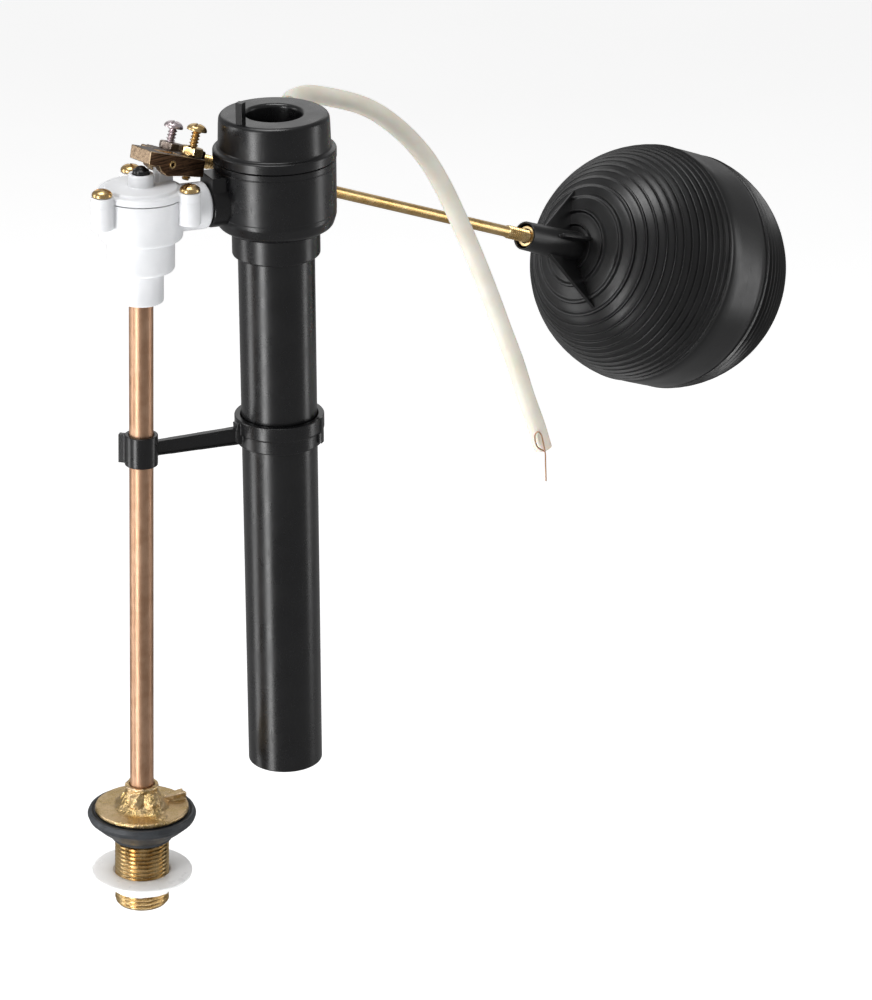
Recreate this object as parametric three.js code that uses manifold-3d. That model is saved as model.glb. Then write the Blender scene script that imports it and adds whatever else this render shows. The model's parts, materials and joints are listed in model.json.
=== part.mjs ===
// Float valve for a cistern: a brass shank and copper riser carry a white diaphragm valve, a black
// discharge canister with its hush tube hangs on the valve's outlet horn, and a ribbed float on a brass
// rod works the lever. Millimetres. The origin is on the riser's axis at the underside of the brass
// flange, +Z runs up the riser and +X is the direction that the float rod points in, seen from above.
import * as THREE from 'three';
import { mergeVertices } from 'three/addons/utils/BufferGeometryUtils.js';
import Module from 'manifold-3d';

const wasm = await Module();
wasm.setup();

// ---- driving dimensions -------------------------------------------------------------------------
const GAP = 0.3;                     // clearance kept between neighbouring solids
const FINE = 28;                     // facets round a large turned piece
const COARSE = 16;                   // facets round a small one

const RISER_R = 4.765;               // 3/8 in copper tube
const RISER_BORE_R = 3.95;
const RISER_Z = [3.3, 240];

const SHANK_R = 11.1;                // 7/8 in thread
const SHANK_END_Z = -41.4;
const SHANK_BORE_R = 6.5;
const FLANGE_R = 19;
const FLANGE_H = 1.9;
const HUB_TOP_Z = 11.6;

const WASHER_R = 22.1;
const WASHER_BOTTOM_Z = -12;
const NUT_TOP_Z = -27.1;
const NUT_BOTTOM_Z = -34;
const NUT_FLANGE_R = 20.7;
const NUT_HEX_R = 15;                // across corners, halved

const SLEEVE = { r: 8.8, z: 218.3 }; // the body's three steps, each from its z up to the next one's
const MIDDLE = { r: 13.1, z: 231.3 };
const DRUM = { r: 16.2, z: 244.4 };
const SEAM_Z = 260.8;                // the body's top face, under the cap
const CAP_RIM_Z = 263.8;
const CAP_TOP_Z = 265;
const CAP_BOSS = { r: 4.9, z: 269.8 };
const SCREW_CIRCLE_R = 19.6;
const SCREW_ANGLES = [-56.5, 63.5, 183.5];
const BOSS_R = 4.3;
const BOSS_Z = [251.5, 264.5];
const CHAMBER_R = 12.6;              // the ring of water round the seat
const SEAT_TOP_Z = 257;
const VALVE_LIFT = 2.1;              // open gap between the seat and the diaphragm
const PLUNGER_Z = [261.7, 272.5];

const HORN_ANGLE = -16.4;            // direction from the riser to the canister, seen from above
const HORN_Z = 254.2;
const HORN_R = 9.2;
const HORN_END = 26.4;
const SPIGOT_R = 6.6;
const SPIGOT_END = 38;

const CANISTER_REACH = 56;           // riser axis to canister axis at the horn's height
const CANISTER_LEAN = 2.1;           // the canister's top leans towards -X
const BODY_R = 23.9;
const SHELF_Z = 20.6;                // heights on the canister are counted from the horn's axis
const FLANGE_Z = 16.6;
const BODY_BOTTOM_Z = -12;
const COLLAR_R = 17.3;
const COLLAR_BOTTOM_Z = -23.2;
const DOME_R = 21.7;
const DOME_TOP_Z = 34;
const VENT_R = 10.5;
const TUBE_R = 15.1;
const TUBE_BORE_R = 13.4;
const TUBE_Z = [-243.6, -14];

const PIVOT = new THREE.Vector3(11, 0, 272.5);
const ARM_DROOP = 20.6;              // the arm hangs this far below level with the valve open
const LEVER_W = 11;
const POST_W = 4.4;
const PIN_R = 1.3;
const SCREW_R = 1.6;
const SCREW_LEAN = -4;
const BLOCK_Y = 12.5;                // the rod runs beside the lever, clear of the canister
const BLOCK_W = 9;
const ROD_R = 2.38;                  // 3/16 in rod
const ROD_THREAD_R = 3;
const ROD_W = 2.45;                  // the rod's height over the pivot, square to the arm
const ROD_U = [17.4, 229];

const HUB_U = 217.1;                 // outer end of the float's hub, along the arm from the pivot
const FLOAT_U = 304.8;                 // float centre
const FLOAT_R = 52.8;
const FLOAT_BAND = 10.6;                // straight band between the two domes
const FLOAT_WALL = 2;

const CLIP_Z = [150.6, 163.2];
const CLIP_R = 6.55;
const BRACKET_Z = 156.6;
const BRACKET_COLLAR_R = 17.9;

const NIPPLE_ANGLE = 37.5;
const NIPPLE_Z = 29.4;
const HOSE_R = 3.8;
const HOSE_BORE_R = 2.55;

// ---- materials ----------------------------------------------------------------------------------
const finish = (color, roughness, metalness) =>
  new THREE.MeshStandardMaterial({ color, roughness, metalness });
const acetal = () => finish(0xf3f3f1, 0.45, 0);
const nylon = () => finish(0xeef0ee, 0.4, 0);
const blackPlastic = () => finish(0x161617, 0.35, 0);
const rubber = () => finish(0x26282a, 0.8, 0);
const brass = () => finish(0xc9a04e, 0.35, 1);
const bronze = () => finish(0x8a5a36, 0.5, 1);
const copper = () => finish(0xc08a68, 0.35, 1);
const zinc = () => finish(0xb9aeb4, 0.4, 1);
const darkSteel = () => finish(0x6c5a50, 0.5, 1);
const vinyl = () => finish(0xe6dfcd, 0.5, 0);

// ---- geometry helpers ---------------------------------------------------------------------------
const radians = THREE.MathUtils.degToRad;

/** Welds a geometry, drops collapsed triangles and turns its faces outwards. */
function welded(geometry) {
  const bare = geometry.clone();
  bare.deleteAttribute('normal');
  bare.deleteAttribute('uv');
  const merged = mergeVertices(bare, 1e-4);
  const index = merged.getIndex().array;
  const p = merged.getAttribute('position');
  const kept = [];
  let volume = 0;
  const [a, b, c] = [new THREE.Vector3(), new THREE.Vector3(), new THREE.Vector3()];
  for (let i = 0; i < index.length; i += 3) {
    const [i0, i1, i2] = [index[i], index[i + 1], index[i + 2]];
    if (i0 === i1 || i1 === i2 || i2 === i0) continue;
    kept.push(i0, i1, i2);
    a.fromBufferAttribute(p, i0);
    b.fromBufferAttribute(p, i1);
    c.fromBufferAttribute(p, i2);
    volume += a.dot(b.cross(c));
  }
  if (volume < 0) kept.reverse();
  merged.setIndex(kept);
  return merged;
}

function solid(geometry) {
  const g = welded(geometry);
  return new wasm.Manifold(new wasm.Mesh({
    numProp: 3,
    vertProperties: new Float32Array(g.getAttribute('position').array),
    triVerts: new Uint32Array(g.getIndex().array),
  }));
}

function geometryOf(manifold) {
  const mesh = manifold.getMesh();
  const g = new THREE.BufferGeometry();
  g.setAttribute('position', new THREE.BufferAttribute(new Float32Array(mesh.vertProperties), 3));
  g.setIndex(new THREE.BufferAttribute(new Uint32Array(mesh.triVerts), 1));
  return g;
}

/** A turned piece round +Z from [radius, z] points that close on themselves or end on the axis. */
function turned(points, facets = FINE) {
  const closed = points[0][0] > 0 || points[points.length - 1][0] > 0;
  const outline = (closed ? [...points, points[0]] : points).map(([r, z]) => new THREE.Vector2(r, z));
  return new THREE.LatheGeometry(outline, facets).rotateX(Math.PI / 2);
}

const rod = (r, z0, z1, facets = COARSE) => turned([[0, z0], [r, z0], [r, z1], [0, z1]], facets);
const ring = (r0, r1, z0, z1, facets = FINE) => turned([[r0, z0], [r1, z0], [r1, z1], [r0, z1]], facets);

/** A box from its low and high corners. */
function block([x0, y0, z0], [x1, y1, z1]) {
  return new THREE.BoxGeometry(x1 - x0, y1 - y0, z1 - z0)
    .translate((x0 + x1) / 2, (y0 + y1) / 2, (z0 + z1) / 2);
}

/** A plate cut to an outline of [x, z] points, lying from y0 to y1. */
function plate(points, y0, y1) {
  const shape = new THREE.Shape(points.map(([x, z]) => new THREE.Vector2(x, z)));
  return new THREE.ExtrudeGeometry(shape, { depth: y1 - y0, bevelEnabled: false })
    .rotateX(Math.PI / 2).translate(0, y1, 0);
}

function prism(sides, cornerR, z0, z1) {
  const shape = new THREE.Shape();
  for (let i = 0; i < sides; i++) {
    const a = 2 * Math.PI * i / sides;
    const go = i ? 'lineTo' : 'moveTo';
    shape[go](cornerR * Math.cos(a), cornerR * Math.sin(a));
  }
  return new THREE.ExtrudeGeometry(shape, { depth: z1 - z0, bevelEnabled: false }).translate(0, 0, z0);
}

/** Points of an arc round [cx, cz] in degrees, both ends included. */
function arc(cx, cz, r, from, to, steps) {
  return Array.from({ length: steps + 1 }, (_, i) => {
    const a = radians(from + (to - from) * i / steps);
    return [cx + r * Math.cos(a), cz + r * Math.sin(a)];
  });
}

const joined = (...geometries) => geometries.map(solid).reduce((sum, s) => sum.add(s));
const cut = (manifold, ...geometries) => geometries.map(solid).reduce((sum, s) => sum.subtract(s), manifold);
const alongX = (geometry) => geometry.rotateY(Math.PI / 2);
const alongY = (geometry) => geometry.rotateX(-Math.PI / 2);
const polar = (r, angle, z) => [r * Math.cos(radians(angle)), r * Math.sin(radians(angle)), z];

const valve = new THREE.Group();

function piece(name, shape, material, parent = valve) {
  const geometry = shape instanceof THREE.BufferGeometry ? welded(shape) : geometryOf(shape);
  const mesh = new THREE.Mesh(geometry, material);
  mesh.name = name;
  parent.add(mesh);
  return mesh;
}

// ---- shank, washer, nut and riser ---------------------------------------------------------------
function addShank() {
  const socketR = RISER_R + GAP;
  const fitting = joined(
    turned([
      [SHANK_BORE_R, SHANK_END_Z], [SHANK_R - 0.8, SHANK_END_Z], [SHANK_R, SHANK_END_Z + 0.9],
      [SHANK_R, 0], [FLANGE_R, 0], [FLANGE_R, FLANGE_H], [8.2, FLANGE_H], [6.4, 8.5], [6.1, HUB_TOP_Z],
      [socketR, HUB_TOP_Z], [socketR, 3], [RISER_BORE_R, 3], [RISER_BORE_R, -6], [SHANK_BORE_R, -9],
    ]),
    block([6.5, -2.2, 1], [FLANGE_R - 0.2, 2.2, 4.8]).rotateZ(radians(HORN_ANGLE)),
    new THREE.SphereGeometry(1, 12, 8).scale(2.6, 3.1, 4.2).translate(...polar(7.2, -104, 4.6)),
    new THREE.SphereGeometry(1, 10, 6).scale(1.4, 1.2, 3).translate(...polar(7.4, 140, 4.2)),
  );
  piece('shank_fitting', cut(fitting, rod(socketR, 3, HUB_TOP_Z + 1, FINE)), brass());

  piece('shank_washer', turned([
    [SHANK_R + GAP, WASHER_BOTTOM_Z], [12.4, WASHER_BOTTOM_Z], [12.7, -10.8], [21.4, -3.2],
    [WASHER_R, -1.5], [21.4, 0.2], [20.3, 0.2], [19.6, -0.4], [SHANK_R + GAP, -0.4],
  ]), rubber());

  const nut = joined(
    ring(SHANK_R + GAP, NUT_FLANGE_R, NUT_TOP_Z - 2, NUT_TOP_Z),
    prism(6, NUT_HEX_R, NUT_BOTTOM_Z, NUT_TOP_Z - 1).rotateZ(radians(34)),
  );
  piece('lock_nut', cut(nut, rod(SHANK_R + GAP, NUT_BOTTOM_Z - 1, NUT_TOP_Z + 1, FINE)), nylon());

  piece('riser_tube', ring(RISER_BORE_R, RISER_R, ...RISER_Z, 24), copper());
}

// ---- valve body, seat, diaphragm, cap and plunger -----------------------------------------------
function addValveBody() {
  const boreR = RISER_R + GAP;
  const drum = turned([
    [boreR, SLEEVE.z], [SLEEVE.r, SLEEVE.z], [SLEEVE.r, MIDDLE.z], [MIDDLE.r - 1.5, MIDDLE.z],
    [MIDDLE.r, MIDDLE.z + 1.8], [MIDDLE.r, DRUM.z], [DRUM.r - 1.5, DRUM.z], [DRUM.r, DRUM.z + 1.8],
    [DRUM.r, SEAM_Z], [14.4, SEAM_Z], [14.4, SEAM_Z - 2.1], [CHAMBER_R, SEAM_Z - 2.1],
    [CHAMBER_R, 248.5], [7, 248.5], [7, 252.1], [4.9, 252.1], [4.9, 246.2], [3.4, 246.2],
    [3.4, 240.4], [boreR, 240.4], [boreR, 226.6], [7.4, 226.6], [7.4, 223], [boreR, 223],
  ]);
  const bosses = SCREW_ANGLES.map((angle) =>
    rod(BOSS_R, BOSS_Z[0], SEAM_Z).translate(...polar(SCREW_CIRCLE_R, angle, 0)));
  const alongHorn = (geometry) =>
    alongX(geometry).rotateZ(radians(HORN_ANGLE)).translate(0, 0, HORN_Z);
  const horn = alongHorn(turned([
    [0, CHAMBER_R + 0.4], [HORN_R, CHAMBER_R + 0.4], [HORN_R, HORN_END], [SPIGOT_R, HORN_END],
    [SPIGOT_R, 31], [5.2, 31], [5.2, 33.4], [SPIGOT_R, 33.4], [SPIGOT_R, SPIGOT_END - 0.8],
    [SPIGOT_R - 0.6, SPIGOT_END], [0, SPIGOT_END],
  ], 24));
  const openings = [
    turned([[0, SEAM_Z - 2.1], [14.4, SEAM_Z - 2.1], [14.4, SEAM_Z], [16.9, SEAM_Z],
      [16.9, CAP_TOP_Z], [0, CAP_TOP_Z]]),
    alongHorn(rod(4.1, 9, SPIGOT_END + 1)),
    ...SCREW_ANGLES.map((angle) =>
      rod(SCREW_R + GAP, BOSS_Z[0] + 1.2, SEAM_Z + 1, 12).translate(...polar(SCREW_CIRCLE_R, angle, 0))),
  ];
  piece('valve_body', cut(joined(drum, ...bosses, horn), ...openings), acetal());

  piece('riser_o_ring', turned(arc(6.2, 224.8, 0.95, 0, 300, 5), 20), rubber());
  piece('outlet_o_ring', alongHorn(turned(arc(6.2, 32.2, 0.75, 0, 300, 5), 20)), rubber());

  piece('valve_seat', turned([
    [3, 246.5], [4.6, 246.5], [4.6, 252.4], [6.2, 252.4], [6.2, 254], [4.4, 255], [4.2, SEAT_TOP_Z],
    [3.2, SEAT_TOP_Z],
  ], 24), brass());

  const padZ = SEAT_TOP_Z + VALVE_LIFT;
  piece('diaphragm', turned([
    [0, padZ], [5.6, padZ], [7, padZ + 0.3], [9, padZ - 0.6], [11.2, padZ], [14, padZ],
    [14, padZ + 1.5], [11, padZ + 1.5], [9, padZ + 0.6], [7, padZ + 1.4], [5.6, padZ + 2.3],
    [0, padZ + 2.3],
  ]), rubber());
}

function addValveCap() {
  const under = SEAM_Z + GAP;
  const lid = turned([
    [CAP_BOSS.r - 1.4, under + 2.1], [9.5, under + 2.1], [9.5, under], [16.5, under],
    [16.5, CAP_RIM_Z - 0.5], [16, CAP_RIM_Z], [14.6, CAP_RIM_Z], [14.2, CAP_TOP_Z],
    [CAP_BOSS.r, CAP_TOP_Z], [CAP_BOSS.r, CAP_BOSS.z], [CAP_BOSS.r - 1.4, CAP_BOSS.z],
  ]);
  const ears = SCREW_ANGLES.map((angle) =>
    rod(BOSS_R, under, BOSS_Z[1]).translate(...polar(SCREW_CIRCLE_R, angle, 0)));
  const post = plate([
    [PIVOT.x - 4.3, CAP_TOP_Z - 1], [PIVOT.x + 3, CAP_TOP_Z - 1],
    ...arc(PIVOT.x, PIVOT.z, 3, 0, 180, 8),
  ], -POST_W / 2, POST_W / 2);
  const holes = [
    alongY(rod(PIN_R + GAP, -5, 5, 16)).translate(PIVOT.x, 0, PIVOT.z),
    ...SCREW_ANGLES.map((angle) =>
      rod(SCREW_R + GAP, under - 1, BOSS_Z[1] + 1, 12).translate(...polar(SCREW_CIRCLE_R, angle, 0))),
  ];
  piece('valve_cap', cut(joined(lid, post, ...ears), ...holes), acetal());

  SCREW_ANGLES.forEach((angle, i) => {
    const seat = BOSS_Z[1] + GAP;
    const screw = joined(rod(SCREW_R, BOSS_Z[0] + 1.6, seat + 0.5, 12), domedHead(4, 2.6, seat));
    const slot = block([-5, -0.5, seat + 1.5], [5, 0.5, seat + 3]).rotateZ(radians(20 + 50 * i));
    piece(`cap_screw_${i + 1}`, cut(screw, slot), brass()).position.set(...polar(SCREW_CIRCLE_R, angle, 0));
  });

  const [bottom, top] = PLUNGER_Z;
  piece('plunger', turned([
    [0, bottom], [5, bottom], [5, bottom + 1], [3.2, bottom + 1], [3.2, top - 1.1],
    [2.4, top - 0.3], [1.2, top], [0, top],
  ]), blackPlastic());
}

/** The domed head of a screw of radius r and height h, standing on z. */
function domedHead(r, h, z) {
  const dome = arc(0, 0, 1, 12, 90, 5).map(([x, y]) => [x <= 1e-9 ? 0 : r * x, z + h * y]);
  dome[dome.length - 1][0] = 0;
  return turned([[0, z], [r * 0.94, z], ...dome], 20);
}

// ---- lever, rod and float -----------------------------------------------------------------------
// The arm's own frame: x along the rod, z square to it, the origin on the pivot.
const arm = new THREE.Group();
arm.position.copy(PIVOT);
arm.rotation.y = radians(ARM_DROOP);
valve.add(arm);

const screwAt = (u, y) => (geometry) => geometry.rotateY(radians(SCREW_LEAN)).translate(u, y, 0);
const adjusting = screwAt(12.9, 0);
const clamping = screwAt(11.9, BLOCK_Y);

function addLever() {
  const side = [
    [-11.2, -2.1], [-8, -2.1], [-6.6, -1.4], ...arc(-1, -0.6, 4.1, 215, 290, 5), [6, -3.6],
    [16.8, -2.2], [15.6, 4.5], [-12.2, 3.1],
  ];
  const lever = joined(
    plate(side, -LEVER_W / 2, LEVER_W / 2),
    plate([[-11.2, -2.1], [3, -2.1], [3, 3.87], [-12.2, 3.1]], 0, LEVER_W / 2 + 1.2),
  );
  piece('lever', cut(
    lever,
    block([-5.2, -POST_W / 2 - GAP, -8], [5.2, POST_W / 2 + GAP, 8]),
    alongY(rod(PIN_R + GAP, -8, 8, 16)),
    adjusting(rod(SCREW_R + GAP, -10, 10, 16)),
  ), bronze(), arm);

  const low = BLOCK_Y - BLOCK_W / 2;
  const high = BLOCK_Y + BLOCK_W / 2;
  const casting = joined(
    plate([[4, -2.6], [17, -2.6], [27, -1.6], [27, 6.5], [17, 6.5], [16.4, 3.6], [4, 3.6]], low, high),
    plate([[5, -2.2], [14.5, -2.2], [14.5, 2.4], [5, 2.4]], LEVER_W / 2 + GAP, low + 1),
    plate([[-2, 2.2], [5, 2.2], [5, 3.6], [-2, 3.6]], low - 1, low + 5),
  );
  piece('rod_block', cut(
    casting,
    clamping(rod(SCREW_R + GAP, -10, 10, 16)),
    alongX(rod(ROD_THREAD_R + GAP, ROD_U[0] - GAP, 30)).translate(0, BLOCK_Y, ROD_W),
  ), bronze(), arm);

  const pin = cut(solid(rod(PIN_R, -LEVER_W / 2 - 0.5, LEVER_W / 2 + 0.5, 16)),
    rod(PIN_R * 0.6, -LEVER_W / 2 - 1, -LEVER_W / 2 + 2, 12));
  piece('fulcrum_pin', pin, brass(), arm).rotation.x = -Math.PI / 2;

  const screws = [
    ['adjusting', adjusting, 4, 2.9, [-5.1, 14.3], 4.6, [4.75, 7.9], brass(), brass()],
    ['clamp', clamping, 3.8, 2.8, [-2, 12.4], 4.2, [3.95, 6.7], zinc(), darkSteel()],
  ];
  for (const [name, placed, headR, headH, [z0, z1], nutR, nutZ, screwFinish, nutFinish] of screws) {
    const screw = joined(rod(SCREW_R, z0, z1 + 0.5, 12), domedHead(headR, headH, z1));
    const slot = block([-5, -0.5, z1 + headH - 1.1], [5, 0.5, z1 + headH + 1]).rotateZ(radians(35));
    piece(`${name}_screw`, placed(geometryOf(cut(screw, slot))), screwFinish, arm);
    const nut = cut(solid(prism(6, nutR, ...nutZ)), rod(SCREW_R + GAP, 0, 12, 16));
    piece(`${name}_nut`, placed(geometryOf(nut)), nutFinish, arm);
  }
}

function addRodAndFloat() {
  const [start, end] = ROD_U;
  piece('float_rod', alongX(turned([
    [0, start], [ROD_THREAD_R, start], [ROD_THREAD_R, 34], [ROD_R, 35], [ROD_R, 202],
    [ROD_THREAD_R, 203], [ROD_THREAD_R, end], [0, end],
  ])).translate(0, BLOCK_Y, ROD_W), brass(), arm);

  // The float's own frame: x along its axis from the hub's outer end.
  const float = new THREE.Group();
  float.position.set(HUB_U, BLOCK_Y, ROD_W);
  arm.add(float);
  const centre = FLOAT_U - HUB_U;
  const pole = centre - FLOAT_R - FLOAT_BAND / 2;
  const inner = FLOAT_R - FLOAT_WALL;

  piece('float_insert', alongX(turned([
    [ROD_THREAD_R + GAP, 1], [4.5, 1], [4.5, 6], [4.9, 6.4], [4.9, 12], [ROD_THREAD_R + GAP, 12],
  ], 24)), brass(), float);

  const dome = (r, from, to, steps) => arc(0, 0, r, from, to, steps);
  const fin = (outline, angle) => plate(outline, -0.9, 0.9).rotateX(radians(angle - 90));
  const front = joined(
    alongX(turned([
      ...dome(FLOAT_R, 172, 90, 7).map(([x, y]) => [y, centre - FLOAT_BAND / 2 + x]),
      [FLOAT_R, centre - GAP], [inner, centre - GAP],
      ...dome(inner, 90, 174, 5).map(([x, y]) => [y, centre - FLOAT_BAND / 2 + x]),
      [5.2, 13], [5.2, 0.5], [5.4, 0], [6.2, 0], [6.6, pole - 2],
    ], 32)),
    ...[55, 235].map((angle) => fin([
      [13, 5.6], [37, 26.6], [39, 26.6], [38, 12], [pole + 2, 5.6],
    ], angle)),
    ...[145, 325].map((angle) => fin([[15.5, 5.6], [16.6, 8.4], [31.4, 11], [33, 5.6]], angle)),
  );
  piece('float_front_shell', front, blackPlastic(), float);

  piece('float_rear_shell', alongX(turned([
    [FLOAT_R, centre], ...dome(FLOAT_R, 90, 0, 7).map(([x, y], i, all) =>
      [i === all.length - 1 ? 0 : y, centre + FLOAT_BAND / 2 + x]),
    ...dome(inner, 0, 90, 5).map(([x, y], i) => [i ? y : 0, centre + FLOAT_BAND / 2 + x]),
    [inner, centre],
  ], 32)), blackPlastic(), float);
}

// ---- discharge canister, its cap, vent, hush tube and refill nipple -----------------------------
const canister = new THREE.Group();
canister.position.set(...polar(CANISTER_REACH, HORN_ANGLE, HORN_Z));
canister.rotation.y = radians(-CANISTER_LEAN);
valve.add(canister);
canister.updateMatrixWorld(true);

/** Moves a geometry that lies along the horn in the valve's frame into the canister's frame. */
const hornToCanister = (geometry) => alongX(geometry).rotateZ(radians(HORN_ANGLE))
  .translate(0, 0, HORN_Z).applyMatrix4(canister.matrixWorld.clone().invert());

function addCanister() {
  const wall = 2.2;
  const top = FLANGE_Z - GAP;
  const shell = turned([
    [COLLAR_R - 1.9, COLLAR_BOTTOM_Z], [COLLAR_R - 0.4, COLLAR_BOTTOM_Z],
    [COLLAR_R, COLLAR_BOTTOM_Z + 0.6], [COLLAR_R, BODY_BOTTOM_Z - 0.6],
    [19.6, BODY_BOTTOM_Z - 0.4], [22.4, BODY_BOTTOM_Z + 1.2], [23.6, BODY_BOTTOM_Z + 3.2],
    [BODY_R, BODY_BOTTOM_Z + 5.5], [BODY_R, top], [BODY_R - wall, top],
    [BODY_R - wall, BODY_BOTTOM_Z + 6], [19.4, BODY_BOTTOM_Z + 2.4], [COLLAR_R - 1.9, BODY_BOTTOM_Z + 1.4],
  ], 32);
  const socket = joined(
    hornToCanister(rod(SPIGOT_R + 2.4, HORN_END + 0.6, CANISTER_REACH - 20, 24)),
    hornToCanister(block([-12, -6, HORN_END + 0.6], [0, 6, CANISTER_REACH - 20])),
  );
  const bore = hornToCanister(rod(SPIGOT_R + 0.6, HORN_END - 1, CANISTER_REACH - 10, 24));
  const inside = rod(BODY_R - wall, BODY_BOTTOM_Z + 6, top - 1, 32);
  const body = solid(shell).add(socket.subtract(solid(inside))).subtract(solid(bore));
  piece('canister_body', body, blackPlastic(), canister);

  const cover = turned([
    [DOME_R - wall, FLANGE_Z - 4], [BODY_R - wall - GAP, FLANGE_Z - 4],
    [BODY_R - wall - GAP, FLANGE_Z], [BODY_R - 0.4, FLANGE_Z],
    [BODY_R - 0.4, SHELF_Z - 0.8], [BODY_R - 1.2, SHELF_Z],
    [DOME_R, SHELF_Z + 0.3], [DOME_R, DOME_TOP_Z - 4],
    ...arc(DOME_R - 4, DOME_TOP_Z - 4, 4, 22, 90, 3),
    [VENT_R + 1, DOME_TOP_Z], [VENT_R, DOME_TOP_Z - 0.8], [VENT_R - 0.4, DOME_TOP_Z - 10],
    [VENT_R - 0.8, 17], [7.4, 17], [7.4, 15.4], [VENT_R + 1, 15.4],
    [VENT_R + 1.2, DOME_TOP_Z - 2.4], [DOME_R - 4, DOME_TOP_Z - 2.2], [DOME_R - wall, DOME_TOP_Z - 5],
  ], 32);
  const tab = block([-1.4, -1.4, DOME_TOP_Z - 1], [1.4, 1.4, DOME_TOP_Z + 8.6])
    .rotateZ(radians(20)).translate(...polar(18.4, -173, 0));
  const nippleHole = alongX(rod(2.2 + GAP, 14, 30)).rotateZ(radians(NIPPLE_ANGLE)).translate(0, 0, NIPPLE_Z);
  piece('canister_cap', cut(joined(cover, tab), nippleHole), blackPlastic(), canister);

  piece('vent_disc', turned([
    [0, 17.3], [9.2, 17.3], [9.2, 18.6], [2.5, 18.6], [2.2, 21], [0, 21],
  ], 24), rubber(), canister);

  piece('hush_tube', ring(TUBE_BORE_R, TUBE_R, ...TUBE_Z), blackPlastic(), canister);

  const nipple = turned([
    [1.2, 19], [2.2, 19], [2.2, 22.1], [3.4, 22.1], [3.4, 23.9], [2.1, 23.9], [2.1, 31.4], [1.2, 31.4],
  ], 16);
  piece('refill_nipple', alongX(nipple).rotateZ(radians(NIPPLE_ANGLE)).translate(0, 0, NIPPLE_Z),
    blackPlastic(), canister);
}

// ---- bracket between the riser and the hush tube ------------------------------------------------
function addBracket() {
  const height = (BRACKET_Z + 1.3 - HORN_Z) / Math.cos(radians(CANISTER_LEAN));
  const onTube = (geometry) => geometry.translate(0, 0, height).applyMatrix4(canister.matrixWorld);
  const grip = TUBE_R + GAP;
  const tubeCentre = new THREE.Vector3(0, 0, height).applyMatrix4(canister.matrixWorld);
  const angle = Math.atan2(tubeCentre.y, tubeCentre.x);
  const reach = Math.hypot(tubeCentre.x, tubeCentre.y);
  const arm0 = CLIP_R - 1;
  const arm1 = reach - grip - 1;
  const lipped = [[arm0, -2.8], [arm1, -3.4], [arm1, 3.4], [arm0, 2.8]];
  const top = [[arm0, 1.9], [arm1, 2.5], [arm1, 3.4], [arm0, 2.8]];
  const bottom = top.map(([x, z]) => [x, -z]).reverse();
  const placed = (geometry) => geometry.rotateZ(angle).translate(0, 0, BRACKET_Z);
  const body = joined(
    ring(RISER_R + GAP, CLIP_R, ...CLIP_Z, 24),
    onTube(ring(grip, BRACKET_COLLAR_R, -0.1, 5.8, 32)),
    onTube(ring(grip, BRACKET_COLLAR_R - 0.8, -5.8, 0, 32)),
    placed(plate(lipped, -0.7, 0.7)),
    placed(plate(top, -1.4, 1.4)),
    placed(plate(bottom, -1.4, 1.4)),
    block([CLIP_R - 0.8, -1, CLIP_Z[0] + 0.4], [CLIP_R + 2.4, 1.4, CLIP_Z[1] - 0.4]).rotateZ(radians(128)),
    onTube(block([BRACKET_COLLAR_R - 1.2, -1.2, -4.6], [BRACKET_COLLAR_R + 0.7, 1.2, 6.2])
      .rotateZ(radians(-62))),
    onTube(block([-BRACKET_COLLAR_R - 2.4, -2.4, -3], [-BRACKET_COLLAR_R + 1.6, 2.4, 6])
      .rotateZ(angle)),
  );
  const clipMouth = block([1, -2.4, CLIP_Z[0] - 1], [12, 2.4, CLIP_Z[1] + 1]).rotateZ(radians(72));
  const collarMouth = onTube(block([6, -8, -8], [24, 8, 8]).rotateZ(radians(52)));
  piece('support_bracket', cut(body, clipMouth, collarMouth), blackPlastic());
}

// ---- refill hose and the wire clip on its end ---------------------------------------------------
/** A tube along a smooth curve through points, with an optional bore. */
function tubeAlong(points, r, boreR, sides, steps) {
  const outline = new THREE.Shape();
  const bore = new THREE.Path();
  for (let i = 0; i < sides; i++) {
    const a = 2 * Math.PI * i / sides;
    outline[i ? 'lineTo' : 'moveTo'](r * Math.cos(a), r * Math.sin(a));
    if (boreR) bore[i ? 'lineTo' : 'moveTo'](boreR * Math.cos(a), boreR * Math.sin(a));
  }
  if (boreR) outline.holes.push(bore);
  const path = new THREE.CatmullRomCurve3(points.map((p) => new THREE.Vector3(...p)), false, 'centripetal');
  return new THREE.ExtrudeGeometry(outline, { steps, bevelEnabled: false, extrudePath: path });
}

function addHose() {
  const mouth = (r) => new THREE.Vector3(...polar(r, NIPPLE_ANGLE, NIPPLE_Z))
    .applyMatrix4(canister.matrixWorld).toArray();
  const route = [
    mouth(24.2), mouth(28.2), mouth(32.2), [86.6, 4.9, 284.6], [96.4, 1, 282.6], [108, -7, 278.3],
    [117.6, -13.7, 270.4], [126.8, -20, 258.7], [133, -24.3, 246.6], [138.3, -27.9, 233.5],
    [144, -31.8, 218.2], [149.8, -35.8, 201.1], [155, -39.4, 184.6], [159.8, -42.7, 169.6],
    [163.9, -45.5, 154.6], [167.9, -48.2, 141.6], [170.7, -50, 131.2],
  ];
  piece('refill_hose', tubeAlong(route, HOSE_R, HOSE_BORE_R, 10, 26), vinyl());

  const wire = [
    [167.2, -54.6, 132.4], [164.9, -52.7, 134.2], [163.9, -51.9, 137.4], [163.9, -51.9, 139.8],
    [164.8, -52.6, 141], [165.8, -53.4, 139.8], [166.5, -54, 136.7], [167.3, -54.8, 131.4],
    [167.7, -54.7, 127.5], [168.2, -54.9, 119.3],
  ];
  piece('hose_clip_wire', tubeAlong(wire, 0.32, 0, 8, 26), copper());
}

addShank();
addValveBody();
addValveCap();
addLever();
addRodAndFloat();
addCanister();
addBracket();
addHose();

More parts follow.
